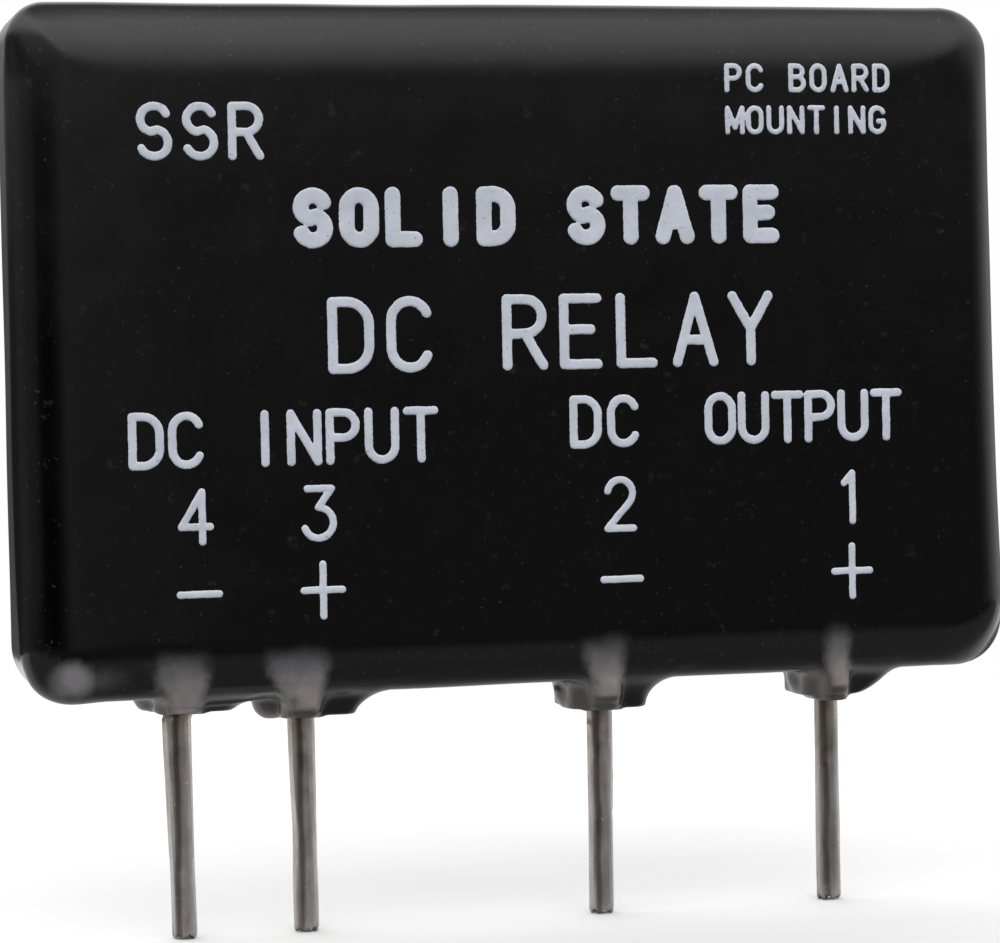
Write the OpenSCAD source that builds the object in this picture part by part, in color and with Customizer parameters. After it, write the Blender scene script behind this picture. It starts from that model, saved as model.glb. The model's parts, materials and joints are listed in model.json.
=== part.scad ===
// Solid state relay in a dip-coated single-in-line package, with four round pins for a circuit board.
// Millimetres. +Z is up, the printed face looks along -Y, and the pins run along X.
// The origin is the axis of pin 1 on the seating plane, where the feet of the coat meet the board.

/* [Body] */
// Width of the coated body
body_w = 41.4; // [40.6:0.2:43.2]
// Height of the coated body above its feet
body_h = 27.9; // [27.5:0.1:29]
// Thickness of the coated body
body_t = 6.2; // [6.2:0.1:6.8]
// Radius of the two upper corners, seen from the front
top_corner_r = 2.2; // [2.1:0.1:3]
// Radius of the two lower corners, seen from the front
low_corner_r = 2.8; // [2.2:0.1:3.4]
// Height of the feet that hold the body off the board
standoff = 1.1; // [0.8:0.1:1.4]

/* [Coat] */
// Thickness of the outer coat around the body's edge
coat_wall = 0.7; // [0.5:0.05:0.8]
// How far the face rolls back where it meets the side wall
roll_drop = 0.9; // [0.4:0.05:1]
// Width of the strip in which the face rolls back
roll_w = 2.2; // [1.4:0.1:2.2]
// Depth of a foot on the board, from front to back
foot_d = 4.1; // [3:0.1:4.2]

/* [Pins] */
// Diameter of a pin
pin_d = 1.02; // [0.8:0.02:1.1]
// Length of a pin below the seating plane
pin_len = 8.9; // [4:0.1:14]
// Distance from pin 1 to pin 2
pitch_12 = 10.16; // [10.16:0.01:10.3]
// Distance from pin 2 to pin 3
pitch_23 = 12.7; // [12.7:0.01:12.8]
// Distance from pin 3 to pin 4
pitch_34 = 5.08; // [5.08:0.01:5.2]
// Distance from pin 1 to the body's right edge
right_margin = 6.94; // [6.6:0.02:7.2]

/* [Board] */
// Thickness of the circuit board
board_t = 0.8; // [0.6:0.1:0.8]
// Thickness of the copper heat spreader on the back of the board
spreader_t = 0.8; // [0.5:0.1:0.8]

/* [Marking] */
// Width of a printed line
line_w = 0.34; // [0.2:0.02:0.5]
// Thickness of the printed ink
ink_t = 0.03; // [0.02:0.01:0.06]

/* [Hidden] */
$fn = 32;
eps = 0.01;

// X of pins 1 to 4
pin_x = [0, -pitch_12, -pitch_12 - pitch_23, -pitch_12 - pitch_23 - pitch_34];
// Left and right side of the foot at pins 1 to 4. A low web joins the feet of pins 3 and 4.
foot_sides = [
    [[1.1, 1.2, 4], [1.25, 1.7, 2]],
    [[1.2, 1.2, 4], [1.5, 2.2, 2]],
    [[1.3, 3, 1.3], [1.7, 1.9, 2]],
    [[1.3, 1.6, 3], [1.8, 3, 1.3]]
];
body_x1 = right_margin;
body_x0 = right_margin - body_w;
body_z0 = standoff;
body_z1 = standoff + body_h;
front_y = -body_t / 2;

// The pin is round up to just above the seating plane. There the wire is flattened, first to a narrow
// neck through the coat and then to a wider paddle on the board.
round_embed = 0.15;
neck_w = 0.8;
tip_chamfer = 0.15;
paddle_w = 1.5;
paddle_t = 0.6;
paddle_h = 3.7;

// Space inside the outer coat
inner_y = body_t / 2 - coat_wall;
inner_x0 = body_x0 + coat_wall;
inner_x1 = body_x1 - coat_wall;
inner_z0 = body_z0 + coat_wall;
inner_z1 = body_z1 - coat_wall;

// Board, with the flat ends of the pins on its front copper
copper_t = 0.07;
board_gap = 0.7;
copper_y = paddle_t / 2;
board_y0 = copper_y + copper_t;
board_y1 = board_y0 + board_t;
board_x0 = inner_x0 + board_gap;
board_x1 = inner_x1 - board_gap;
board_z0 = inner_z0 + board_gap;
board_z1 = inner_z1 - board_gap;
pad_z0 = 3.2;

// Places of the components on the board, as [x, z]
mosfet_at = [[-0.2, 15.2], [-8.1, 15.2]];
isolator_at = [-17.5, 15];
regulator_at = [-28, 18.2];
diode_at = [-22.9, 10.9];
gate_transistor_at = [-14.6, 21.6];
gate_zener_at = [-15.4, 8.4];
clamp_at = [-5, 4.9];
resistor_at = [
    [-30.6, 9.2], [-30.6, 11.9], [-27.2, 9.2], [-27.2, 11.9],
    [-20.2, 20.6], [-20.2, 23.2], [-15.4, 5.6]
];
capacitor_at = [[-28.6, 24.6], [-24.6, 24.6], [-8.6, 23.8]];

// Thermal vias under each MOSFET
via_d = 0.5;
via_pitch = 1.3;
via_columns = 4;
via_rows = 3;
via_up = 0.4;

// Package sizes, as [width, length, height]
mosfet_size = [6.6, 6.1, 2.2];
isolator_size = [4.4, 5.2, 2];
regulator_size = [4.5, 2.5, 1.5];
diode_size = [4.3, 2.6, 2.1];
clamp_size = [4.4, 3.6, 2.2];
transistor_size = [2.9, 1.3, 1];
zener_size = [2.7, 1.6, 1.1];
resistor_size = [2, 1.25, 0.5];
capacitor_size = [2, 1.25, 1];
chip_cap_w = 0.35;

// ---------- shared shapes ----------

// Points of a rectangle from corner [x0, z0] to corner [x1, z1], anticlockwise, with upper corners of
// radius rt and lower corners of radius rb
function rounded_outline(x0, x1, z0, z1, rt, rb, steps) = [
    for (c = [
        [x1 - rt, z1 - rt, rt, 0], [x0 + rt, z1 - rt, rt, 90],
        [x0 + rb, z0 + rb, rb, 180], [x1 - rb, z0 + rb, rb, 270]
    ])
        for (i = [0:steps])
            [c[0] + c[2] * cos(c[3] + 90 * i / steps), c[1] + c[2] * sin(c[3] + 90 * i / steps)]
];

// Closed solid through rings of equally many points that go anticlockwise, seen from the last ring's side
module lofted(rings) {
    n = len(rings[0]);
    m = len(rings);
    points = [for (ring = rings) for (p = ring) p];
    sides = [
        for (k = [0:m - 2])
            for (i = [0:n - 1])
                each [
                    [k * n + i, (k + 1) * n + i, (k + 1) * n + (i + 1) % n],
                    [k * n + i, (k + 1) * n + (i + 1) % n, k * n + (i + 1) % n]
                ]
    ];
    first_cap = [for (i = [0:n - 1]) i];
    last_cap = [for (i = [n - 1:-1:0]) (m - 1) * n + i];
    polyhedron(points, concat([first_cap], sides, [last_cap]));
}

// Puts a shape drawn on a flat table, with its height along Z, on the front copper of the board
module on_board(at, turn = 0) {
    translate([at[0], copper_y, at[1]])
        rotate([90, 0, 0])
            rotate([0, 0, turn])
                children();
}

// Moulded case whose sides slope in above and below the parting line
module moulded_case(size, lift, draft) {
    parting = lift + (size[2] - lift) * 0.45;
    levels = [[lift, draft * 0.6], [parting, 0], [size[2], draft]];
    lofted([
        for (level = levels)
            [
                for (corner = [[1, 1], [-1, 1], [-1, -1], [1, -1]])
                    [
                        corner[0] * (size[0] / 2 - level[1]),
                        corner[1] * (size[1] / 2 - level[1]),
                        level[0]
                    ]
            ]
    ]);
}

// Bent lead that leaves a case at height h and lies on the copper, drawn in +X from the case's wall
module gull_lead(h, reach, width, t, inside) {
    knee = reach * 0.35;
    translate([0, width / 2, 0])
        rotate([90, 0, 0])
            linear_extrude(width)
                polygon([
                    [-inside, h], [knee, h], [knee + t, t], [reach, t], [reach, 0],
                    [knee + t * 0.35, 0], [knee - t * 0.75, h - t], [-inside, h - t]
                ]);
}

// Lead that leaves a case's end wall and folds under it, drawn in +X from the case's wall
module folded_lead(h, width, t, under, inside) {
    translate([0, width / 2, 0])
        rotate([90, 0, 0])
            linear_extrude(width)
                polygon([
                    [-inside, h], [t * 1.6, h], [t * 1.6, 0], [-under, 0],
                    [-under, t], [t * 0.6, t], [t * 0.6, h - t], [-inside, h - t]
                ]);
}

// ---------- coat ----------

// Half of the body's thickness at a distance s inside its outline
function half_thickness(s) = body_t / 2 - roll_drop * pow(1 - min(s, roll_w) / roll_w, 2.4);

// Outline of the body at a distance s inside its outermost outline, at depth y
function body_ring(s, y) = [
    for (
        p = rounded_outline(
            body_x0 + s, body_x1 - s, body_z0 + s, body_z1 - s,
            top_corner_r - s * 0.9, low_corner_r - s * 0.9, 6
        )
    )
        [p[0], y, p[1]]
];

module body_shape() {
    edge_round = 0.22;
    rolls = [1, 0.75, 0.52, 0.33, 0.18, 0.07];
    side = half_thickness(0) - edge_round;
    back = [for (u = rolls) body_ring(roll_w * u, half_thickness(roll_w * u))];
    front = [for (i = [len(rolls) - 1:-1:0]) body_ring(roll_w * rolls[i], -half_thickness(roll_w * rolls[i]))];
    lofted(concat(back, [body_ring(0, side), body_ring(0, -side)], front));
}

// Foot that flares out from the board up into the underside of the body. Each side is given as
// [reach on the board, how much further it reaches at the top, exponent of the flare].
module foot(left, right) {
    levels = [0, 0.3, 0.52, 0.7, 0.86, 1];
    top = standoff + 0.25;
    lofted([
        for (u = levels)
            [
                for (
                    p = rounded_outline(
                        -left[0] - left[1] * pow(u, left[2]), right[0] + right[1] * pow(u, right[2]),
                        -foot_d / 2, foot_d / 2, 0.8, 0.8, 3
                    )
                )
                    [p[0], p[1], top * u]
            ]
    ]);
}

// Ridge of coat that runs down the front of the body over a pin
module pin_ridge() {
    ridge_r = 0.95;
    lean = 14;
    difference() {
        translate([0.1, -foot_d / 2 + ridge_r - 0.05, -0.6])
            rotate([lean, 0, 0])
                cylinder(r = ridge_r, h = standoff + 2);
        translate([-5, -5, -5])
            cube([10, 10, 5]);
    }
}

module inner_space() {
    translate([0, inner_y, 0])
        rotate([90, 0, 0])
            linear_extrude(2 * inner_y)
                polygon(rounded_outline(
                    inner_x0, inner_x1, inner_z0, inner_z1,
                    top_corner_r - coat_wall, low_corner_r - coat_wall, 3
                ));
}

module epoxy_coat() {
    color([0.045, 0.045, 0.048])
        difference() {
            union() {
                body_shape();
                for (i = [0:3])
                    translate([pin_x[i], 0, 0]) {
                        foot(foot_sides[i][0], foot_sides[i][1]);
                        pin_ridge();
                    }
            }
            inner_space();
            for (x = pin_x)
                translate([x, 0, 0]) {
                    translate([0, 0, -eps])
                        cylinder(d = pin_d, h = round_embed + eps);
                    translate([-neck_w / 2, -paddle_t / 2, 0])
                        cube([neck_w, paddle_t, inner_z0 + eps]);
                }
        }
}

module buffer_coat() {
    color([0.32, 0.33, 0.34])
        difference() {
            inner_space();
            insides();
        }
}

// ---------- pins ----------

module pin(number) {
    color([0.62, 0.6, 0.57])
        translate([pin_x[number - 1], 0, 0]) {
            translate([0, 0, -pin_len + tip_chamfer])
                cylinder(d = pin_d, h = pin_len - tip_chamfer + round_embed);
            translate([0, 0, -pin_len])
                cylinder(d1 = pin_d - 2 * tip_chamfer, d2 = pin_d, h = tip_chamfer);
            translate([-neck_w / 2, -paddle_t / 2, 0])
                cube([neck_w, paddle_t, inner_z0 + 0.4]);
            translate([-paddle_w / 2, -paddle_t / 2, inner_z0 + 0.1])
                cube([paddle_w, paddle_t, paddle_h]);
        }
}

module pin_solder_joints() {
    rise = 0.42;
    spread = 0.4;
    color([0.78, 0.78, 0.76])
        for (x = pin_x, side = [-1, 1])
            translate([x, 0, pad_z0])
                linear_extrude(inner_z0 + 0.1 + paddle_h - pad_z0)
                    polygon([
                        [side * paddle_w / 2, copper_y],
                        [side * (paddle_w / 2 + spread), copper_y],
                        [side * (paddle_w / 2 + spread * 0.3), copper_y - rise * 0.4],
                        [side * paddle_w / 2, copper_y - rise]
                    ]);
}

// ---------- board ----------

module board_plate(y, t) {
    translate([0, y + t, 0])
        rotate([90, 0, 0])
            linear_extrude(t)
                children();
}

module area(x0, z0, x1, z1) {
    translate([x0, z0])
        square([x1 - x0, z1 - z0]);
}

// Places of the thermal vias, as [x, z]
function via_places() = [
    for (at = mosfet_at)
        for (i = [0:via_columns - 1])
            for (j = [0:via_rows - 1])
                [
                    at[0] + (i - (via_columns - 1) / 2) * via_pitch,
                    at[1] + via_up + (j - (via_rows - 1) / 2) * via_pitch
                ]
];

module circuit_board() {
    color([0.16, 0.33, 0.2])
        board_plate(board_y0, board_t)
            difference() {
                area(board_x0, board_z0, board_x1, board_z1);
                for (p = via_places())
                    translate(p)
                        circle(d = via_d);
            }
}

module thermal_vias() {
    color([0.78, 0.48, 0.3])
        for (p = via_places())
            translate([p[0], board_y1, p[1]])
                rotate([90, 0, 0])
                    cylinder(d = via_d, h = board_t);
}

module front_copper() {
    lead_z = mosfet_at[0][1] - 5.3;
    color([0.78, 0.48, 0.3])
        board_plate(copper_y, copper_t) {
            // drain area, from pin 1 round the right side to both MOSFET tabs
            area(-12, 12.4, 5, 20.6);
            area(3.8, pad_z0, 5, 13);
            area(-3.2, pad_z0, 5, 6);
            // source area, from pin 2 to both source leads
            area(-11.4, pad_z0, -6.8, 8.6);
            area(-11.4, 7.2, 3.2, 8.6);
            for (at = mosfet_at) {
                area(at[0] + 1.6, 8, at[0] + 2.96, lead_z + 0.9);
                area(at[0] - 2.96, lead_z - 0.5, at[0] - 1.6, lead_z + 1.4);
            }
            // gate track from the isolator to both gate leads
            area(-13.6, 11, mosfet_at[0][0] - 1.6, 11.3);
            area(-14.9, 11, -13.5, 14.2);
            area(-14.9, 15.8, -13.5, 20.4);
            area(-17, 7.8, -15.9, 9);
            area(-14.9, 7.8, -13.4, 11.1);
            area(-17, 5, -15.9, 8);
            area(-14.9, 5, -11.3, 6.2);
            // input tracks from pins 3 and 4 through the diode, resistors and regulator
            area(-24.1, pad_z0, -21.6, 9.6);
            area(-23.9, 12.2, -21.8, 16.6);
            area(-21.8, 15.8, -20.1, 16.7);
            area(-29.2, pad_z0, -26.7, 6.8);
            area(-32, 6.4, -26.7, 7);
            area(-32, 6.4, -31.2, 12.6);
            area(-30, 8.6, -27.8, 12.6);
            area(-26.6, 8.6, -25.8, 16.6);
            area(-30.2, 15.9, -25.8, 16.6);
            area(-29, 19.6, -27, 22.2);
            area(-29.8, 22, -29.1, 25.2);
            area(-28.1, 24, -25.1, 25.2);
            area(-24.1, 20, -23.4, 25.2);
            area(-24.1, 20, -20.7, 21.2);
            area(-21.9, 22.6, -20.7, 23.8);
            area(-19.7, 20, -18.9, 23.8);
            area(-9.8, 23.2, -9, 24.4);
            area(-8.2, 20.4, -7.4, 24.4);
        }
}

module back_copper() {
    color([0.78, 0.48, 0.3])
        board_plate(board_y1, copper_t)
            area(-12.6, 6.4, 5, 25);
}

module heat_spreader() {
    color([0.8, 0.5, 0.32])
        board_plate(board_y1 + copper_t, spreader_t)
            polygon(rounded_outline(-12.2, 4.6, 6.8, 24.6, 0.8, 0.8, 4));
}

// ---------- components ----------

mosfet_lead_x = 2.28;

module mosfet_tab_shape() {
    on_board([0, 0]) {
        translate([-2.7, -2.4, 0])
            cube([5.4, 6.5, 0.5]);
        translate([-0.4, -mosfet_size[1] / 2 - 0.6, 0.9])
            cube([0.8, 1.6, 0.5]);
        translate([-0.4, -2.4, 0.4])
            cube([0.8, 0.4, 0.6]);
    }
}

// Bent lead with a wider post at its inner end, on each side of the middle stub
module mosfet_lead_shapes() {
    for (side = [-1, 1]) {
        on_board([side * mosfet_lead_x, -mosfet_size[1] / 2], -90)
            gull_lead(1.4, 2.7, 0.76, 0.5, 1.1);
        on_board([side * 1.9, -mosfet_size[1] / 2])
            translate([-0.74, 0.3, 0.9])
                cube([1.48, 0.8, 0.5]);
    }
}

module mosfet_die_shape() {
    on_board([0, 0.5])
        translate([-1.6, -1.6, 0.5])
            cube([3.2, 3.2, 0.25]);
}

// Arched bond from the top of the die to the post of a lead: a wide one for the source, a thin one for the gate
module mosfet_bond_shapes() {
    die_top = 0.75;
    post_top = 1.4;
    for (bond = [[-1.4, 0.16], [1.3, 0.4]])
        translate([bond[0] - bond[1] / 2, copper_y, 0])
            rotate([90, 0, 0])
                rotate([90, 0, 90])
                    linear_extrude(bond[1])
                        polygon([
                            [-0.9, die_top], [-0.3, die_top], [-0.3, die_top + 0.25], [-1.1, post_top + 0.4],
                            [-2.6, post_top + 0.4], [-2.6, post_top], [-2, post_top], [-1.4, post_top]
                        ]);
}

module mosfet_part(number, part) {
    at = mosfet_at[number - 1];
    translate([at[0], 0, at[1]]) {
        if (part == "case")
            color([0.07, 0.07, 0.075])
                difference() {
                    on_board([0, 0])
                        moulded_case(mosfet_size, 0, 0.25);
                    mosfet_tab_shape();
                    mosfet_lead_shapes();
                    mosfet_die_shape();
                    mosfet_bond_shapes();
                }
        if (part == "tab")
            color([0.7, 0.68, 0.66])
                mosfet_tab_shape();
        if (part == "leads")
            color([0.76, 0.76, 0.75])
                mosfet_lead_shapes();
        if (part == "die")
            color([0.3, 0.31, 0.36])
                mosfet_die_shape();
        if (part == "bonds")
            color([0.82, 0.82, 0.83])
                mosfet_bond_shapes();
    }
}

module isolator_lead_shapes() {
    for (side = [0, 180], z = [-1.27, 1.27])
        on_board([isolator_at[0] + (side == 0 ? 1 : -1) * isolator_size[0] / 2, isolator_at[1] + z], side)
            gull_lead(1, 1.4, 0.5, 0.2, 0.6);
    // die pads inside the case, on the ends of the upper leads
    for (side = [-1, 1])
        on_board([isolator_at[0] + side * 1.05, isolator_at[1]])
            translate([-0.75, -1.5, 0.8])
                cube([1.5, 3.02, 0.2]);
}

module isolator_led_shape() {
    on_board([isolator_at[0] - 1, isolator_at[1]])
        translate([-0.2, -0.2, 1])
            cube([0.4, 0.4, 0.2]);
}

module isolator_detector_shape() {
    on_board([isolator_at[0] + 0.95, isolator_at[1]])
        translate([-0.45, -0.6, 1])
            cube([0.9, 1.2, 0.2]);
}

module isolator_dome_shape() {
    difference() {
        on_board(isolator_at)
            translate([0, 0, 1])
                lofted([
                    for (u = [0, 30, 60])
                        [for (a = [0:24:336]) [1.85 * cos(u) * cos(a), 1.3 * cos(u) * sin(a), 0.62 * sin(u)]]
                ]);
        isolator_led_shape();
        isolator_detector_shape();
    }
}

module isolator_case() {
    color([0.86, 0.85, 0.8])
        difference() {
            on_board(isolator_at)
                moulded_case(isolator_size, 0.1, 0.2);
            isolator_lead_shapes();
            isolator_led_shape();
            isolator_detector_shape();
            isolator_dome_shape();
        }
}

// Small transistor case with three bent leads: two on the lower side and one on the upper side
module transistor_leads(at, size, pitch, width, middle) {
    for (x = [-pitch / 2, pitch / 2])
        on_board([at[0] + x, at[1] - size[1] / 2], -90)
            gull_lead(0.6, 0.7, width, 0.15, 0.35);
    on_board([at[0], at[1] + size[1] / 2], 90)
        gull_lead(0.6, 0.7, middle, 0.15, 0.35);
}

module regulator_lead_shapes() {
    for (x = [-1.5, 0, 1.5])
        on_board([regulator_at[0] + x, regulator_at[1] - regulator_size[1] / 2])
            translate([-0.24, -1, 0])
                cube([0.48, 1.5, 0.4]);
    on_board(regulator_at)
        translate([-0.9, -0.7, 0])
            cube([1.8, 2.6, 0.4]);
}

module end_leads(at, size, width, turn) {
    for (side = [0, 180])
        translate([at[0], copper_y, at[1]])
            rotate([90, 0, 0])
                rotate([0, 0, turn + side])
                    translate([size[0] / 2, 0, 0])
                        folded_lead(1.2, width, 0.2, 0.9, 0.7);
}

module cased_part(at, size, turn = 0) {
    color([0.07, 0.07, 0.075])
        difference() {
            on_board(at, turn)
                moulded_case(size, 0.2, size[2] * 0.12);
            children();
        }
}

module gate_zener_lead_shapes() {
    for (side = [0, 180])
        on_board([gate_zener_at[0] + (side == 0 ? 1 : -1) * zener_size[0] / 2, gate_zener_at[1]], side)
            gull_lead(0.6, 0.55, 0.6, 0.15, 0.4);
}

module chip_bodies(places, size) {
    for (at = places)
        on_board(at)
            translate([-size[0] / 2 + chip_cap_w, -size[1] / 2, 0])
                cube([size[0] - 2 * chip_cap_w, size[1], size[2]]);
}

module chip_caps(places, size) {
    for (at = places, side = [0, 1])
        on_board(at)
            translate([-size[0] / 2 + side * (size[0] - chip_cap_w), -size[1] / 2, 0])
                cube([chip_cap_w, size[1], size[2]]);
}

// Everything that the buffer coat surrounds, as full blocks
module insides() {
    for (number = [1:4])
        pin(number);
    pin_solder_joints();
    board_plate(board_y0, board_t)
        area(board_x0, board_z0, board_x1, board_z1);
    front_copper();
    back_copper();
    heat_spreader();
    for (at = mosfet_at)
        translate([at[0], 0, at[1]]) {
            on_board([0, 0])
                moulded_case(mosfet_size, 0, 0.25);
            mosfet_tab_shape();
            mosfet_lead_shapes();
        }
    on_board(isolator_at)
        moulded_case(isolator_size, 0.1, 0.2);
    isolator_lead_shapes();
    on_board(regulator_at)
        moulded_case(regulator_size, 0.2, regulator_size[2] * 0.12);
    regulator_lead_shapes();
    on_board(diode_at, 90)
        moulded_case(diode_size, 0.2, diode_size[2] * 0.12);
    end_leads(diode_at, diode_size, 1.4, 90);
    on_board(clamp_at)
        moulded_case(clamp_size, 0.2, clamp_size[2] * 0.12);
    end_leads(clamp_at, clamp_size, 2, 0);
    on_board(gate_transistor_at)
        moulded_case(transistor_size, 0.2, transistor_size[2] * 0.12);
    transistor_leads(gate_transistor_at, transistor_size, 1.9, 0.4, 0.4);
    on_board(gate_zener_at)
        moulded_case(zener_size, 0.2, zener_size[2] * 0.12);
    gate_zener_lead_shapes();
    for (at = resistor_at)
        on_board(at)
            translate([-resistor_size[0] / 2, -resistor_size[1] / 2, 0])
                cube(resistor_size);
    for (at = capacitor_at)
        on_board(at)
            translate([-capacitor_size[0] / 2, -capacitor_size[1] / 2, 0])
                cube(capacitor_size);
}

// ---------- marking ----------

// Part of an ellipse as a list of points, from angle a0 to angle a1
function bow(cx, cz, rx, rz, a0, a1, steps = 5) = [
    for (i = [0:steps])
        [cx + rx * cos(a0 + (a1 - a0) * i / steps), cz + rz * sin(a0 + (a1 - a0) * i / steps)]
];

// Pen strokes of a character that is 1 high and 0.56 wide
function strokes(c) =
    c == "1" ? [[[0.12, 0.8], [0.3, 1], [0.3, 0]]] :
    c == "2" ? [concat(bow(0.28, 0.72, 0.27, 0.28, 170, -35), [[0, 0], [0.56, 0]])] :
    c == "3" ? [concat([[0.04, 1], [0.54, 1], [0.26, 0.62]], bow(0.26, 0.31, 0.3, 0.31, 80, -160))] :
    c == "4" ? [[[0.42, 0], [0.42, 1], [0, 0.3], [0.58, 0.3]]] :
    c == "A" ? [[[0, 0], [0.29, 1], [0.58, 0]], [[0.11, 0.34], [0.47, 0.34]]] :
    c == "B" ? [concat([[0, 0], [0, 1]], bow(0.28, 0.77, 0.24, 0.23, 90, -90, 4), [[0, 0.54]]),
        concat(bow(0.28, 0.27, 0.28, 0.27, 90, -90, 4), [[0, 0]])] :
    c == "C" ? [concat(bow(0.29, 0.69, 0.29, 0.31, 25, 180), bow(0.29, 0.31, 0.29, 0.31, 180, 335))] :
    c == "D" ? [concat([[0.22, 0], [0, 0], [0, 1]],
        bow(0.22, 0.66, 0.34, 0.34, 90, 0, 3), bow(0.22, 0.34, 0.34, 0.34, 0, -90, 3))] :
    c == "E" ? [[[0.52, 1], [0, 1], [0, 0], [0.52, 0]], [[0, 0.53], [0.42, 0.53]]] :
    c == "G" ? [concat(bow(0.29, 0.69, 0.29, 0.31, 25, 180), bow(0.29, 0.31, 0.29, 0.31, 180, 360),
        [[0.58, 0.44], [0.34, 0.44]])] :
    c == "I" ? [[[0.28, 0], [0.28, 1]]] :
    c == "L" ? [[[0, 1], [0, 0], [0.5, 0]]] :
    c == "M" ? [[[0, 0], [0, 1], [0.32, 0.2], [0.64, 1], [0.64, 0]]] :
    c == "N" ? [[[0, 0], [0, 1], [0.56, 0], [0.56, 1]]] :
    c == "O" ? [concat(bow(0.28, 0.7, 0.28, 0.3, 0, 180), bow(0.28, 0.3, 0.28, 0.3, 180, 360), [[0.56, 0.7]])] :
    c == "P" ? [concat([[0, 0], [0, 1]], bow(0.28, 0.74, 0.27, 0.26, 90, -90, 4), [[0, 0.48]])] :
    c == "R" ? [concat([[0, 0], [0, 1]], bow(0.28, 0.74, 0.27, 0.26, 90, -90, 4), [[0, 0.48]]),
        [[0.28, 0.48], [0.56, 0]]] :
    c == "S" ? [concat(bow(0.28, 0.74, 0.27, 0.26, 25, 255, 6), bow(0.28, 0.27, 0.28, 0.27, 75, -155, 6))] :
    c == "T" ? [[[0, 1], [0.58, 1]], [[0.29, 1], [0.29, 0]]] :
    c == "U" ? [concat([[0, 1]], bow(0.28, 0.3, 0.28, 0.3, 180, 360), [[0.56, 1]])] :
    c == "Y" ? [[[0, 1], [0.29, 0.5], [0.58, 1]], [[0.29, 0.5], [0.29, 0]]] :
    c == "-" ? [[[0, 0.5], [0.75, 0.5]]] :
    c == "+" ? [[[0, 0.5], [0.75, 0.5]], [[0.375, 0], [0.375, 1]]] :
    [];

// How far ink spreads beyond the line it is printed with
ink_spread = 0.02;

// Change of direction at point k of a list of points
function turn(s, k) =
    let (u = s[k] - s[k - 1], v = s[k + 1] - s[k])
    abs(atan2(u[0] * v[1] - u[1] * v[0], u * v));

// Last point of the smooth run that passes point k
function run_end(s, k) = k >= len(s) - 1 || turn(s, k) > 60 ? k : run_end(s, k + 1);

// Point k of a list, moved sideways by d, so that the line through all of them keeps its width
function beside(s, k, d) =
    let (
        u = s[max(k, 1)] - s[max(k, 1) - 1],
        v = s[min(k + 1, len(s) - 1)] - s[min(k, len(s) - 2)],
        a = u / norm(u),
        b = v / norm(v),
        m = a + b
    )
    s[k] + [-m[1], m[0]] * 2 * d / (m * m);

// Band of width w along a smooth run of points, a little longer at both ends
module band(s, w) {
    last = len(s) - 1;
    first_step = s[0] - s[1];
    last_step = s[last] - s[last - 1];
    run = concat(
        [s[0] + first_step * 0.3 * w / norm(first_step)],
        [for (k = [1:1:last - 1]) s[k]],
        [s[last] + last_step * 0.3 * w / norm(last_step)]
    );
    polygon(concat(
        [for (k = [0:last]) beside(run, k, w / 2)],
        [for (k = [last:-1:0]) beside(run, k, -w / 2)]
    ));
}

// A word with its lower left corner at [x, z], its height, the step from letter to letter and its line width
module printed_word(word, x, z, height, step, width) {
    for (i = [0:len(word) - 1])
        for (stroke = strokes(word[i]))
            for (k = [0:len(stroke) - 2])
                if (k == 0 || turn(stroke, k) > 60)
                    band(
                        [for (m = [k:run_end(stroke, k + 1)]) [x + i * step, z] + stroke[m] * height],
                        width - 2 * ink_spread
                    );
}

// Words of the marking, as [word, x, z, height, step, line width]
words = [
    ["SSR", -29.4, 22.8, 2, 1.85, line_w],
    ["PC BOARD", -4.9, 25.45, 1, 0.93, line_w * 0.62],
    ["MOUNTING", -4.9, 23.7, 1, 0.9, line_w * 0.62],
    ["SOLID STATE", -23, 19.4, 1.8, 1.9, line_w * 1.9],
    ["DC RELAY", -21.8, 14.2, 2.7, 2.42, line_w * 1.2],
    ["DC INPUT", -30, 10.5, 1.95, 1.6, line_w],
    ["DC", -11.8, 10.9, 1.85, 1.6, line_w],
    ["OUTPUT", -6, 10.9, 1.85, 1.46, line_w]
];

module marking_ink() {
    digit_h = 2;
    sign_h = 2.1;
    // the print sits a little to the right of the pins
    shift = 0.3;
    color([0.78, 0.8, 0.86])
        translate([0, front_y, 0])
            rotate([90, 0, 0])
                linear_extrude(ink_t)
                    offset(delta = ink_spread) {
                        for (w = words)
                            printed_word(w[0], w[1], w[2], w[3], w[4], w[5]);
                        for (i = [0:3]) {
                            x = pin_x[i] + shift;
                            printed_word(str(i + 1), x - digit_h * 0.28, 7.4, digit_h, 1, line_w);
                            printed_word(i % 2 == 0 ? "+" : "-", x - sign_h * 0.375, 4.25, sign_h, 1, line_w);
                        }
                    }
}

// ---------- nodes ----------

epoxy_coat();
buffer_coat();
marking_ink();
pin(1);  // pin_1
pin(2);  // pin_2
pin(3);  // pin_3
pin(4);  // pin_4
pin_solder_joints();
circuit_board();
front_copper();
back_copper();
thermal_vias();
heat_spreader();
mosfet_part(1, "case");  // mosfet_1_case
mosfet_part(1, "tab");  // mosfet_1_drain_tab
mosfet_part(1, "leads");  // mosfet_1_leads
mosfet_part(1, "die");  // mosfet_1_die
mosfet_part(1, "bonds");  // mosfet_1_bonds
mosfet_part(2, "case");  // mosfet_2_case
mosfet_part(2, "tab");  // mosfet_2_drain_tab
mosfet_part(2, "leads");  // mosfet_2_leads
mosfet_part(2, "die");  // mosfet_2_die
mosfet_part(2, "bonds");  // mosfet_2_bonds
isolator_case();
color([0.76, 0.76, 0.75]) isolator_lead_shapes();  // isolator_leads
color([0.75, 0.3, 0.25]) isolator_led_shape();  // isolator_led_die
color([0.3, 0.31, 0.36]) isolator_detector_shape();  // isolator_detector_die
color([0.85, 0.88, 0.9]) isolator_dome_shape();  // isolator_dome
cased_part(regulator_at, regulator_size) regulator_lead_shapes();  // regulator_case
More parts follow.
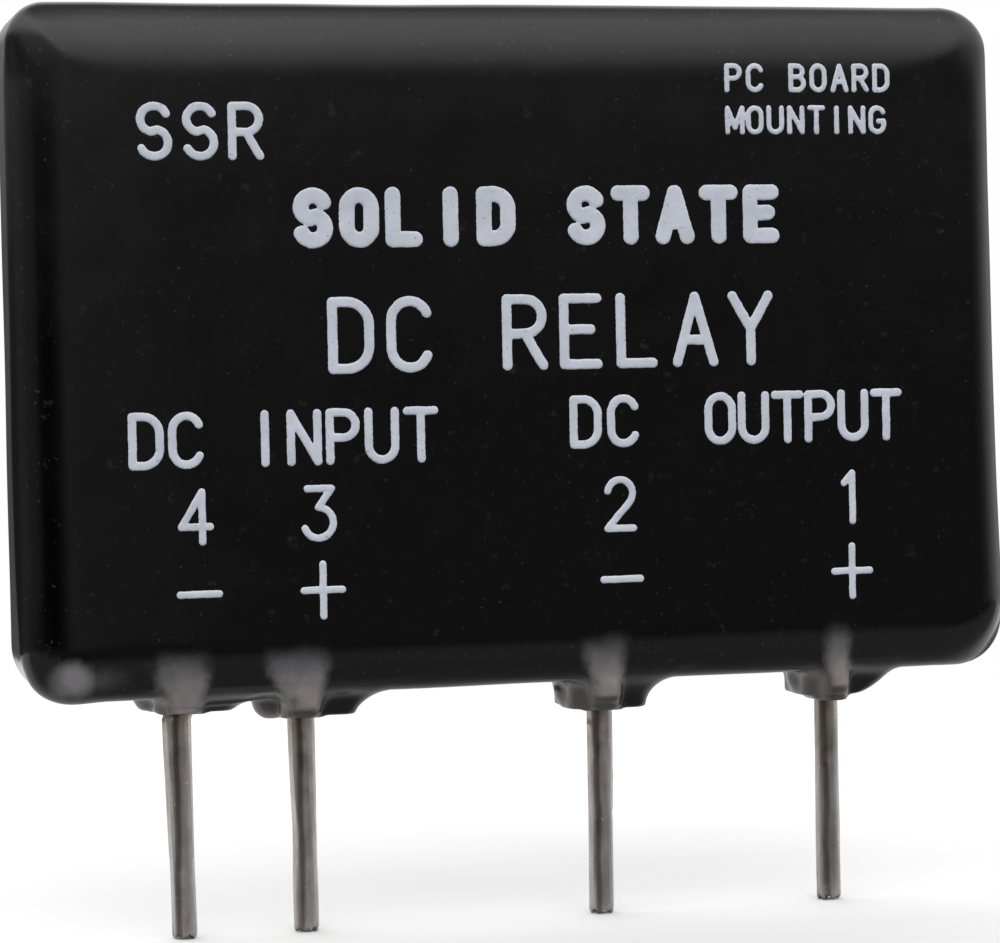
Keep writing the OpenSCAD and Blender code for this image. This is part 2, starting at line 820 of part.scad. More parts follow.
color([0.76, 0.76, 0.75]) regulator_lead_shapes();  // regulator_leads
cased_part(diode_at, diode_size, 90) end_leads(diode_at, diode_size, 1.4, 90);  // input_diode_case
color([0.76, 0.76, 0.75]) end_leads(diode_at, diode_size, 1.4, 90);  // input_diode_leads
cased_part(gate_transistor_at, transistor_size)  // gate_transistor_case
        transistor_leads(gate_transistor_at, transistor_size, 1.9, 0.4, 0.4);
color([0.76, 0.76, 0.75]) transistor_leads(gate_transistor_at, transistor_size, 1.9, 0.4, 0.4);  // gate_transistor_leads
cased_part(gate_zener_at, zener_size) gate_zener_lead_shapes();  // gate_zener_case
color([0.76, 0.76, 0.75]) gate_zener_lead_shapes();  // gate_zener_leads
cased_part(clamp_at, clamp_size) end_leads(clamp_at, clamp_size, 2, 0);  // output_clamp_case
color([0.76, 0.76, 0.75]) end_leads(clamp_at, clamp_size, 2, 0);  // output_clamp_leads
color([0.12, 0.12, 0.14]) chip_bodies(resistor_at, resistor_size);  // chip_resistor_bodies
color([0.8, 0.8, 0.79]) chip_caps(resistor_at, resistor_size);  // chip_resistor_caps
color([0.62, 0.48, 0.33]) chip_bodies(capacitor_at, capacitor_size);  // chip_capacitor_bodies
color([0.8, 0.8, 0.79]) chip_caps(capacitor_at, capacitor_size);  // chip_capacitor_caps
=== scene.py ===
"""Solid state relay: the looks of the coated body, its print and its pins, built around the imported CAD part.

Lengths are in millimetres, and mesh_object and the factor MM turn them into metres.
"""
import json
import math

import bpy
import numpy as np
from mathutils import Matrix, Vector


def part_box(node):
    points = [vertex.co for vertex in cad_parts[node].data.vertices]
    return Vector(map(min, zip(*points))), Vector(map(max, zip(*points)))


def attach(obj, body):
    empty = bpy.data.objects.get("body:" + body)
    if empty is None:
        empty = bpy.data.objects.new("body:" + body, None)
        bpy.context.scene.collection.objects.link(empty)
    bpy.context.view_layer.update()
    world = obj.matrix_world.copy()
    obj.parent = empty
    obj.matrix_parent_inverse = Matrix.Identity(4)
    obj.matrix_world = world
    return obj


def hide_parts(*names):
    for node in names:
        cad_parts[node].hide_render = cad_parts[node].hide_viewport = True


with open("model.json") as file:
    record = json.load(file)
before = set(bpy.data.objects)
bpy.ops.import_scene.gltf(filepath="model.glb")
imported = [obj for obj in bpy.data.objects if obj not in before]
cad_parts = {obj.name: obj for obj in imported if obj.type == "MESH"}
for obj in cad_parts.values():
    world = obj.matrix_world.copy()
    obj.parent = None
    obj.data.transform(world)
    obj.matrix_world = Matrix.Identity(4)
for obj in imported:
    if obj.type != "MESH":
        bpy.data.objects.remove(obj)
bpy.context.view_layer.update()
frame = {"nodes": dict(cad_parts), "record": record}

MM = 0.001
RECORD = frame["record"]


def mm_box(node):
    """Lowest and highest corner of a CAD node, in millimetres."""
    low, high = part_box(node)
    return np.array(low) / MM, np.array(high) / MM


coat_low, coat_high = mm_box("epoxy_coat")
inner_low, inner_high = mm_box("buffer_coat")
ink_low = mm_box("marking_ink")[0]
pin_low, pin_high = mm_box("pin_1")
PIN_MOUNTS = [mount for mount in RECORD["mounts"] if mount["kind"] == "pin"]
PIN_X = [mount["pos_m"][0] / MM for mount in PIN_MOUNTS]
PIN_R = PIN_MOUNTS[0]["dims"]["r_mm"]
WALL = coat_high[2] - inner_high[2]

# Body of the coat, without its feet
X0, X1 = coat_low[0], coat_high[0]
Z0, Z1 = inner_low[2] - WALL, coat_high[2]
HALF = coat_high[1]


# ---------- small helpers ----------

def waves(seed, points, wavelength, terms=7):
    """Smooth random field of about unit size, made of sine waves in random directions."""
    rng = np.random.RandomState(seed)
    total = np.zeros(points[0].shape)
    for _ in range(terms):
        direction = rng.normal(size=len(points))
        direction /= np.linalg.norm(direction)
        k = 2 * math.pi / (wavelength * rng.uniform(0.7, 1.5))
        phase = rng.uniform(0, 2 * math.pi)
        total = total + np.sin(sum(d * p for d, p in zip(direction, points)) * k + phase)
    return total / math.sqrt(terms)


def smin(a, b, k):
    """Union of two signed distances, with a fillet about k wide between them."""
    h = np.clip(0.5 + 0.5 * (b - a) / k, 0, 1)
    return b + (a - b) * h - k * h * (1 - h)


def smax(a, b, k):
    """Overlap of two signed distances, with its edges rounded about k wide."""
    return -smin(-a, -b, k)


def smooth01(t):
    """0 up to t = 0, 1 from t = 1, and smooth between."""
    t = np.clip(t, 0, 1)
    return t * t * (3 - 2 * t)


def bump(t, centre, width):
    """Smooth hump of height 1 around a centre."""
    return np.exp(-((t - centre) / width) ** 2)


def rounded_box(x, y, half_x, half_y, r):
    """Signed distance to a rectangle with round corners about the origin, negative inside."""
    over_x = np.abs(x) - half_x + r
    over_y = np.abs(y) - half_y + r
    beyond = np.hypot(np.maximum(over_x, 0), np.maximum(over_y, 0))
    return np.minimum(np.maximum(over_x, over_y), 0) + beyond - r


def mesh_object(name, verts_mm, faces):
    mesh = bpy.data.meshes.new(name)
    mesh.from_pydata([tuple(v) for v in (np.asarray(verts_mm) * MM).tolist()], [], faces)
    mesh.validate()
    mesh.update()
    mesh.shade_smooth()
    ob = bpy.data.objects.new(name, mesh)
    bpy.context.collection.objects.link(ob)
    return ob


# ---------- shape of the coat ----------

# Roll of the face towards each edge: width of its strip, how far it drops, and how late
ROLL = {"left": 2.3, "right": 1.4, "top": 3.3, "bottom": 2.7}
ROLL_DROP = 0.9
ROLL_POWER = 3.0
# Length over which two strips' widths blend at a corner
ROLL_BLEND = 0.8
# How far past the outline the roll goes on, as a share of its strip
ROLL_PAST = 0.12
# Corners seen from the front: of the body, and of the line that the roll follows
CORNER_R = {"top_left": 1.5, "top_right": 2.2, "low_left": 2.1, "low_right": 2.1}
ROLL_R = {"top_left": 1.3, "top_right": 1.7, "low_left": 2.3, "low_right": 3.0}
# Rounding where the rolled face meets the side, and how much more of it there is at the left
CREASE = 0.3
LEFT_CREASE = 0.75
# Keeps the uneven faces within the CAD's thickness
WAVE_ROOM = 0.012
# How far the outline stands proud of the CAD's: all round, and how much more at the right and at the left
PROUD = 0.045
PROUD_RIGHT = 0.07
PROUD_LEFT = 0.05
PROUD_FADE = 3
# The body gets wider to the right towards its foot: how much, over what height, how far from the right edge
WIDER = 0.57
WIDER_HEIGHT = 9
WIDER_REACH = 7
# Keeps divisors above zero
TINY = 1e-12


def outline(x, z, radii):
    """Signed distance to the body's outline seen from the front, negative inside."""
    from_middle, from_centre = x - (X0 + X1) / 2, z - (Z0 + Z1) / 2
    r = np.where(
        from_middle < 0,
        np.where(from_centre > 0, radii["top_left"], radii["low_left"]),
        np.where(from_centre > 0, radii["top_right"], radii["low_right"]),
    )
    return rounded_box(from_middle, from_centre, (X1 - X0) / 2, (Z1 - Z0) / 2, r)


def half_thickness(x, z):
    """Half of the body's thickness, which rolls off towards the edges."""
    sides = {"left": x - X0, "right": X1 - x, "top": Z1 - z, "bottom": z - Z0}
    weights = {side: np.exp(-np.clip(s, 0, 40) / ROLL_BLEND) for side, s in sides.items()}
    total = sum(weights.values()) + TINY
    width = sum(weights[side] * ROLL[side] for side in sides) / total
    inside = -outline(x, z, ROLL_R)
    t = 1 - np.clip(inside / width, -ROLL_PAST, 1)
    return HALF - WAVE_ROOM - ROLL_DROP * t ** ROLL_POWER


def uneven(half, x, y, z):
    """Half thickness with the slight waves of a dipped face."""
    return half + 0.009 * waves(3, (x, z, y * 0.3), 9) + 0.003 * waves(4, (x, z, y), 2.6)


def body_sdf(x, y, z):
    """Signed distance to the body without its feet."""
    lower = np.exp(-np.maximum(z, 0) / WIDER_HEIGHT)
    wide_x = x - WIDER * lower * smooth01((x - X1 + WIDER_REACH) / WIDER_REACH)
    half = uneven(half_thickness(wide_x, z), x, y, z)
    edge = outline(wide_x, z, CORNER_R) + 0.02 * waves(5, (x, z, y * 0.5), 7) - PROUD
    edge = edge - PROUD_RIGHT * smooth01((x - X1 + PROUD_FADE) / PROUD_FADE)
    # the left edge is rounder than the others, and this fades out at its top and bottom
    middle = smooth01((Z1 - 0.6 - z) / 2.6) * smooth01((z - Z0 - 0.8) / 5)
    crease = CREASE + LEFT_CREASE * smooth01((X0 + 4 - x) / 2.5) * middle
    edge = edge - PROUD_LEFT * smooth01((X0 + PROUD_FADE - x) / PROUD_FADE) * middle
    return smax(edge, np.abs(y) - half, crease)


# Feet, from pin 1 to pin 4, measured from the pin's axis and the seating plane: height of the underside
# (floor), reach to the left and right, how much wider the right side gets up to the body (flare) and the
# power of that curve. The drip is a ball that hangs at the left, with a flat underside of its own.
FEET = [
    {"floor": -0.08, "left": 1.35, "right": 0.95, "flare": 1.9, "power": 0.55,
     "drip": (-0.9, 0.2, 0.62), "drip_r": 0.7, "drip_floor": -0.08},
    {"floor": -0.2, "left": 1.5, "right": 1.8, "flare": 1.25, "power": 2.1,
     "drip": (-1.05, 0.2, 0.5), "drip_r": 0.75, "drip_floor": -0.18},
    {"floor": 0.05, "left": 1.0, "right": 2.12, "flare": 1.5, "power": 1.6,
     "drip": (-1.25, 0.4, 0.62), "drip_r": 0.74, "drip_floor": -0.2},
    {"floor": 0.42, "left": 1.15, "right": 2.12, "flare": 1.6, "power": 1.4,
     "drip": (-1.12, 0.5, 0.98), "drip_r": 0.66, "drip_floor": 0.4},
]
# Ridge of coat over each pin, in the same order: where its middle is (x) and its half width (r), both at the
# top and at the bottom, height of its top, and how far its lip hangs below the foot
RIDGES = [
    {"top_x": -0.46, "low_x": -0.2, "top_r": 0.75, "low_r": 0.7, "top_z": 2.75, "hang": 0.17},
    {"top_x": -0.48, "low_x": -0.14, "top_r": 1.1, "low_r": 0.75, "top_z": 2.9, "hang": 0.0},
    {"top_x": -0.66, "low_x": -0.18, "top_r": 1.5, "low_r": 0.78, "top_z": 2.75, "hang": 0.0},
    {"top_x": -0.24, "low_x": 0.0, "top_r": 1.28, "low_r": 0.86, "top_z": 2.6, "hang": 0.0},
]
# Half of a CAD foot's thickness, and the rounding of a foot's upright corners and lower edge
FOOT_HALF = 1.95
FOOT_CORNER = 0.62
FOOT_EDGE = 0.12
# Front of a foot at its underside, how much further forward it comes at the body, and its flare at the left
FOOT_FRONT = 1.4
FOOT_LEAN = 0.72
LEFT_FLARE = 0.35
# Height at which the feet end inside the body
FOOT_TOP = 2.3
LIP_HEIGHT = 0.27
RIDGE_DEPTH = 1.5
# Ball of coat at the lower left corner: its centre from that corner, and its three radii
BLOB_AT = (2.0, -1.5, 0.95)
BLOB_R = (1.5, 1.0, 0.95)
# Web of coat between pins 3 and 4: half its width and depth, how far it hangs below the body, and its top
WEB_HALF = 1.6
WEB_HANG = 0.28
WEB_TOP = 2.4
# The holes are tighter than the pins, and end just below the inner coat
HOLE_TIGHT = 0.06
HOLE_END = 0.12
# Brings the fields of flattened shapes closer to true distances
FIELD_SCALE = 0.9
# Fillets between the body and what is dipped onto it
FOOT_FILLET = 0.45
RIDGE_FILLET = 0.3
DRIP_FILLET = 0.16
BLOB_FILLET = 0.4
WEB_FILLET = 0.35


def foot_sdf(x, y, z, px, foot):
    """Signed distance to one foot, which widens upwards, with its drip."""
    floor = foot["floor"]
    rise = np.clip((z - floor) / (Z0 + 0.2 - floor), 0, 1.25)
    left = px - foot["left"] - LEFT_FLARE * rise ** 3
    right = px + foot["right"] + foot["flare"] * rise ** foot["power"]
    front = -FOOT_FRONT - FOOT_LEAN * rise ** 1.6
    back = FOOT_HALF + 0.02
    side = rounded_box(
        x - (left + right) / 2, y - (front + back) / 2, (right - left) / 2, (back - front) / 2, FOOT_CORNER)
    side = side + 0.04 * waves(20 + int(abs(px)), (x, y, z), 1.8)
    column = smax(side, floor - z, FOOT_EDGE)
    drip_x, drip_y, drip_z = foot["drip"]
    # deeper than it is wide
    off_y, off_z = (y - drip_y) * 0.7, (z - drip_z) * 0.95
    drip = np.sqrt((x - px - drip_x) ** 2 + off_y ** 2 + off_z ** 2) - foot["drip_r"]
    drip = smax(drip, foot["drip_floor"] - z, 0.14)
    return smax(smin(column, drip, DRIP_FILLET), z - FOOT_TOP, 0.1)


def ridge_sdf(x, y, z, px, foot, ridge):
    """Ridge of coat down the front of the body over a pin, ending in a small upright lip at the foot."""
    low_r, top_z = ridge["low_r"], ridge["top_z"]
    floor = foot["floor"] - ridge["hang"]
    lip_z = floor + LIP_HEIGHT
    t = np.clip((z - lip_z) / (top_z - lip_z), 0, 1.3)
    grow = smooth01(t / 0.85)
    half_width = low_r + (ridge["top_r"] - low_r) * grow
    front = -(FOOT_HALF + 0.16) - 0.94 * t ** 0.5 + 1.6 * np.clip(t - 0.8, 0, 1) ** 1.5
    middle = px + ridge["low_x"] + (ridge["top_x"] - ridge["low_x"]) * grow
    # flattened ellipse in plan, whose front is at the line of the ridge
    across = np.abs((x - middle) / half_width) ** 2.5
    along = np.abs((y - front - RIDGE_DEPTH) / RIDGE_DEPTH) ** 2.5
    d = ((across + along) ** 0.4 - 1) * np.minimum(half_width, RIDGE_DEPTH) * FIELD_SCALE
    return smax(smax(d, floor - z, 0.1), z - top_z - 0.5, 0.3)


def blob_sdf(x, y, z):
    """Thicker coat at the lower left corner, a flattened ball."""
    offsets = (x - X0 - BLOB_AT[0], y - BLOB_AT[1], z - Z0 - BLOB_AT[2])
    return (np.sqrt(sum((offset / r) ** 2 for offset, r in zip(offsets, BLOB_R))) - 1) * FIELD_SCALE


def web_sdf(x, y, z):
    """Web of coat between the feet of pins 3 and 4."""
    middle = (PIN_X[2] + PIN_X[3]) / 2
    sides = np.maximum(np.abs(x - middle) - WEB_HALF, np.abs(y) - WEB_HALF)
    return np.maximum(sides, np.maximum(Z0 - WEB_HANG - z, z - WEB_TOP))


def coat_sdf(x, y, z):
    """Signed distance to the whole coat, with a blind hole for each pin."""
    d = smin(body_sdf(x, y, z), blob_sdf(x, y, z), BLOB_FILLET)
    for px, foot, ridge in zip(PIN_X, FEET, RIDGES):
        d = smin(d, foot_sdf(x, y, z, px, foot), FOOT_FILLET)
        d = smin(d, ridge_sdf(x, y, z, px, foot, ridge), RIDGE_FILLET)
    d = smin(d, web_sdf(x, y, z), WEB_FILLET)
    hole_r, hole_top = PIN_R - HOLE_TIGHT, inner_low[2] - HOLE_END
    for px in PIN_X:
        d = np.maximum(d, -np.maximum(np.hypot(x - px, y) - hole_r, z - hole_top))
    return d


# ---------- mesh of the coat ----------

# The points are pulled onto the surface this many times, no further than LONGEST_PULL each time, along the
# slope measured over SLOPE_STEP to either side. LEAST_SLOPE keeps flat spots from throwing points far.
PULLS = 3
LONGEST_PULL = 0.08
SLOPE_STEP = 0.01
LEAST_SLOPE = 0.25
CELL_CORNERS = [(a, b, c) for a in (0, 1) for b in (0, 1) for c in (0, 1)]


def axis_steps(start, bands):
    """Grid lines along one axis from start, through bands of (end, step)."""
    lines = [start]
    for end, step in bands:
        count = max(1, int(round((end - lines[-1]) / step)))
        lines += list(np.linspace(lines[-1], end, count + 1)[1:])
    return np.array(lines)


def at_corner(values, corner):
    """The values that the grid's cells have at one of their corners."""
    return values[tuple(slice(step, size - 1 + step) for step, size in zip(corner, values.shape))]


def net_points(field, grids):
    """Number of each cell that the surface passes through, and the middle of its crossings there."""
    inside = field < 0
    count = sum(at_corner(inside, corner).astype(np.int8) for corner in CELL_CORNERS)
    active = (count > 0) & (count < len(CELL_CORNERS))
    index = -np.ones(active.shape, dtype=np.int64)
    index[active] = np.arange(active.sum())
    total = np.zeros((active.sum(), 3))
    hits = np.zeros(active.sum())
    for corner in CELL_CORNERS:
        for axis in range(3):
            if corner[axis]:
                continue
            other = tuple(1 if k == axis else step for k, step in enumerate(corner))
            here, there = at_corner(field, corner)[active], at_corner(field, other)[active]
            cross = (here < 0) != (there < 0)
            t = np.where(cross, here / np.where(cross, here - there, 1), 0)
            for dim, grid in enumerate(grids):
                start, end = at_corner(grid, corner)[active], at_corner(grid, other)[active]
                total[:, dim] += np.where(cross, start + (end - start) * t, 0)
            hits += cross
    return index, total / hits[:, None]


def pull_onto(sdf, points):
    """Pull every point onto the surface where sdf is zero."""
    e = SLOPE_STEP
    for _ in range(PULLS):
        x, y, z = points.T
        value = sdf(x, y, z)
        slope = np.stack([
            sdf(x + e, y, z) - sdf(x - e, y, z),
            sdf(x, y + e, z) - sdf(x, y - e, z),
            sdf(x, y, z + e) - sdf(x, y, z - e),
        ], axis=1) / (2 * e)
        size = np.maximum((slope ** 2).sum(axis=1), LEAST_SLOPE)
        step = slope * (value / size)[:, None]
        length = np.linalg.norm(step, axis=1)
        step *= np.minimum(1, LONGEST_PULL / np.maximum(length, TINY))[:, None]
        points = points - step
    return points


def net_quads(inside, index):
    """One face for every grid line that crosses the surface, between the four cells around it."""
    quads = []
    for axis in range(3):
        u, v = (axis + 1) % 3, (axis + 2) % 3
        lower = [slice(None)] * 3
        upper = [slice(None)] * 3
        lower[axis], upper[axis] = slice(0, -1), slice(1, None)
        starts_inside = inside[tuple(lower)]
        change = starts_inside != inside[tuple(upper)]
        # lines on the outside of the grid don't have four cells around them
        for side in (u, v):
            for end in (0, -1):
                border = [slice(None)] * 3
                border[side] = end
                change[tuple(border)] = False
        where = np.argwhere(change)
        flip = starts_inside[change]
        ring = []
        for step_u, step_v in ((-1, -1), (0, -1), (0, 0), (-1, 0)):
            cell = where.copy()
            cell[:, u] += step_u
            cell[:, v] += step_v
            ring.append(index[cell[:, 0], cell[:, 1], cell[:, 2]])
        ring = np.stack(ring, axis=1)
        ring[~flip] = ring[~flip][:, ::-1]
        quads.append(ring)
    return np.concatenate(quads)


def surface_net(sdf, xs, ys, zs):
    """Smooth closed quad mesh of the surface where sdf is zero, on a grid whose spacing may vary."""
    grids = np.meshgrid(xs, ys, zs, indexing="ij")
    field = sdf(*grids)
    index, points = net_points(field, grids)
    return pull_onto(sdf, points), net_quads(field < 0, index)


def cavity(low, high, r_top, r_low, corner_steps=6):
    """Closed rounded box, facing inwards, that bounds the space inside the coat."""
    ring = []
    for cx, cz, r, start in (
        (high[0] - r_top, high[2] - r_top, r_top, 0),
        (low[0] + r_top, high[2] - r_top, r_top, 90),
        (low[0] + r_low, low[2] + r_low, r_low, 180),
        (high[0] - r_low, low[2] + r_low, r_low, 270),
    ):
        for i in range(corner_steps + 1):
            a = math.radians(start + 90 * i / corner_steps)
            ring.append((cx + r * math.cos(a), cz + r * math.sin(a)))
    n = len(ring)
    verts = [(x, low[1], z) for x, z in ring] + [(x, high[1], z) for x, z in ring]
    faces = [tuple(range(n)), tuple(range(2 * n - 1, n - 1, -1))]
    faces += [(i, n + i, n + (i + 1) % n, (i + 1) % n) for i in range(n)]
    # the ring runs anticlockwise seen from the front, so the faces look outwards until they are reversed
    return verts, [tuple(reversed(face)) for face in faces]


# Steps of the coat's grid: fine at the feet and edges, coarse where the face is flat
FOOT_GRID = 0.15
EDGE_GRID = 0.14
COARSE_GRID = 0.5
# Half width of the fine grid about a pin
PIN_ZONE = 3.1
MARGIN = 0.3
# Corners of the space inside the coat
CAVITY_TOP_R = 1.5
CAVITY_LOW_R = 2.1

coat_xs = axis_steps(X0 - 0.25, [
    (PIN_X[2] + PIN_ZONE, FOOT_GRID), (PIN_X[1] - PIN_ZONE, COARSE_GRID),
    (PIN_X[1] + PIN_ZONE, FOOT_GRID), (PIN_X[0] - PIN_ZONE, COARSE_GRID),
    (X1 + 0.8, FOOT_GRID),
])
coat_ys = axis_steps(-HALF - MARGIN, [(-1.2, EDGE_GRID), (1.2, 0.2), (HALF + MARGIN, EDGE_GRID)])
coat_zs = axis_steps(-0.45, [(Z0 + 3.2, 0.125), (Z1 - 4.2, COARSE_GRID), (Z1 + MARGIN, EDGE_GRID)])
verts, quads = surface_net(coat_sdf, coat_xs, coat_ys, coat_zs)
# the coat is nowhere thicker than the CAD's
verts[:, 1] = np.clip(verts[:, 1], -HALF, HALF)
cavity_verts, cavity_faces = cavity(inner_low, inner_high, CAVITY_TOP_R, CAVITY_LOW_R)
base = len(verts)
coat = mesh_object(
    "coat_visual",
    np.concatenate([verts, np.array(cavity_verts)]),
    quads.tolist() + [tuple(base + k for k in face) for face in cavity_faces],
)
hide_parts("epoxy_coat")
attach(coat, "root")


# ---------- print ----------

def bow(cx, cz, rx, rz, start, end, steps=18):
    """Points along an elliptical arc about (cx, cz), between two angles in degrees."""
    angles = [math.radians(start + (end - start) * i / steps) for i in range(steps + 1)]
    return [(cx + rx * math.cos(a), cz + rz * math.sin(a)) for a in angles]


# Pen strokes of the characters, each 1 high and about 0.56 wide. Round letters share their upper part.
ROUND_TOP = bow(0.29, 0.69, 0.29, 0.31, 25, 180)
P_STROKE = [(0, 0), (0, 1)] + bow(0.28, 0.74, 0.27, 0.26, 90, -90) + [(0, 0.48)]
STROKES = {
    "1": [[(0.12, 0.8), (0.3, 1), (0.3, 0)]],
    "2": [bow(0.28, 0.72, 0.27, 0.28, 170, -35) + [(0, 0), (0.56, 0)]],
    "3": [[(0.04, 1), (0.54, 1), (0.26, 0.62)] + bow(0.26, 0.31, 0.3, 0.31, 80, -160)],
    "4": [[(0.42, 0), (0.42, 1), (0, 0.3), (0.58, 0.3)]],
    "A": [[(0, 0), (0.29, 1), (0.58, 0)], [(0.11, 0.34), (0.47, 0.34)]],
    "B": [[(0, 0), (0, 1)] + bow(0.28, 0.77, 0.24, 0.23, 90, -90) + [(0, 0.54)],
          bow(0.28, 0.27, 0.28, 0.27, 90, -90) + [(0, 0)]],
    "C": [ROUND_TOP + bow(0.29, 0.31, 0.29, 0.31, 180, 335)],
    "D": [[(0.22, 0), (0, 0), (0, 1)] + bow(0.22, 0.66, 0.34, 0.34, 90, 0)
          + bow(0.22, 0.34, 0.34, 0.34, 0, -90)],
    "E": [[(0.52, 1), (0, 1), (0, 0), (0.52, 0)], [(0, 0.53), (0.42, 0.53)]],
    "G": [ROUND_TOP + bow(0.29, 0.31, 0.29, 0.31, 180, 360) + [(0.58, 0.44), (0.34, 0.44)]],
    "I": [[(0.28, 0), (0.28, 1)]],
    "L": [[(0, 1), (0, 0), (0.5, 0)]],
    "M": [[(0, 0), (0, 1), (0.32, 0.2), (0.64, 1), (0.64, 0)]],
    "N": [[(0, 0), (0, 1), (0.56, 0), (0.56, 1)]],
    "O": [bow(0.28, 0.7, 0.28, 0.3, 0, 180) + bow(0.28, 0.3, 0.28, 0.3, 180, 360) + [(0.56, 0.7)]],
    "P": [P_STROKE],
    "R": [P_STROKE, [(0.28, 0.48), (0.56, 0)]],
    "S": [bow(0.28, 0.74, 0.27, 0.26, 25, 255) + bow(0.28, 0.27, 0.28, 0.27, 75, -155)],
    "T": [[(0, 1), (0.58, 1)], [(0.29, 1), (0.29, 0)]],
    "U": [[(0, 1)] + bow(0.28, 0.3, 0.28, 0.3, 180, 360) + [(0.56, 1)]],
    "Y": [[(0, 1), (0.29, 0.5), (0.58, 1)], [(0.29, 0.5), (0.29, 0)]],
    "-": [[(0, 0.5), (0.75, 0.5)]],
    "+": [[(0, 0.5), (0.75, 0.5)], [(0.375, 0), (0.375, 1)]],
}

LINE = 0.34
SMALL_LINE = LINE * 0.62
NUMBER_LINE = LINE * 0.86
LARGE_LINE = LINE * 1.2
BOLD_LINE = LINE * 1.9
# Words of the print, as (word, x, z, height, step, line width)
WORDS = [
    ("SSR", -29.4, 22.8, 2, 1.85, LINE),
    ("PC BOARD", -4.9, 25.45, 1, 0.93, SMALL_LINE),
    ("MOUNTING", -4.9, 23.7, 1, 0.9, SMALL_LINE),
    ("SOLID STATE", -23, 19.4, 1.8, 1.9, BOLD_LINE),
    ("DC RELAY", -21.8, 14.2, 2.7, 2.42, LARGE_LINE),
    ("DC INPUT", -30, 10.5, 1.95, 1.6, LINE),
    ("DC", -11.8, 10.9, 1.85, 1.6, LINE),
    ("OUTPUT", -6, 10.9, 1.85, 1.46, LINE),
]
# Half the width of a number and of a sign. Both rows stand a little closer together than the pins.
NUMBER_HALF = 0.56
SIGN_HALF = 0.79
for number, px in enumerate(PIN_X, start=1):
    WORDS.append((str(number), px * 0.994 + 0.22 - NUMBER_HALF, 7.4, 2, 1, NUMBER_LINE))
    sign = "+" if number % 2 else "-"
    WORDS.append((sign, px * 0.989 + 0.2 - SIGN_HALF, 4.25, 2.1, 1, NUMBER_LINE))

# Spacing of the print's grid, how far around a stroke its distance is worked out, and the value beyond that
PRINT_GRID = 0.055
STROKE_REACH = 0.9
FAR = 9.0
# Thickness of the ink at its rim and how much more it is inside, the width over which it gets there, and how
# deep its back lies in the coat
INK_RIM = 0.006
INK_BODY = 0.016
INK_SLOPE = 0.1
INK_SUNK = 0.02


def print_segments():
    """All straight pieces of the pen strokes, as (ax, az, bx, bz, half width)."""
    out = []
    for word, x, z, height, step, width in WORDS:
        for i, letter in enumerate(word):
            for stroke in STROKES.get(letter, []):
                pts = [(x + i * step + sx * height, z + sz * height) for sx, sz in stroke]
                out += [(*a, *b, width / 2) for a, b in zip(pts, pts[1:])]
    return out


def segment_distance(ax, az, bx, bz, x, z):
    """Distance from points to a straight piece from (ax, az) to (bx, bz)."""
    squared = (bx - ax) ** 2 + (bz - az) ** 2
    t = np.clip(((x - ax) * (bx - ax) + (z - az) * (bz - az)) / max(squared, TINY), 0, 1)
    return np.hypot(x - ax - t * (bx - ax), z - az - t * (bz - az))


def ink_field(xs, zs):
    """Signed distance to the edge of the ink, negative in it, with the small waves of a printed edge."""
    field = np.full((len(xs), len(zs)), FAR)
    reach = np.array([-STROKE_REACH, STROKE_REACH])
    for ax, az, bx, bz, half in print_segments():
        i0, i1 = np.searchsorted(xs, [min(ax, bx), max(ax, bx)] + reach)
        j0, j1 = np.searchsorted(zs, [min(az, bz), max(az, bz)] + reach)
        gx, gz = np.meshgrid(xs[i0:i1], zs[j0:j1], indexing="ij")
        near = segment_distance(ax, az, bx, bz, gx, gz) - half
        field[i0:i1, j0:j1] = np.minimum(field[i0:i1, j0:j1], near)
    gx, gz = np.meshgrid(xs, zs, indexing="ij")
    field = field + 0.006 * waves(31, (gx, gz), 0.6) + 0.004 * waves(32, (gx, gz), 0.2)
    return gx, gz, field


def rim_edges(quads, point_count):
    """The edges that only one face has."""
    edges = np.concatenate([quads[:, [k, (k + 1) % 4]] for k in range(4)])
    key = edges.min(axis=1) * point_count + edges.max(axis=1)
    _, first, counts = np.unique(key, return_index=True, return_counts=True)
    return edges[first[counts == 1]]


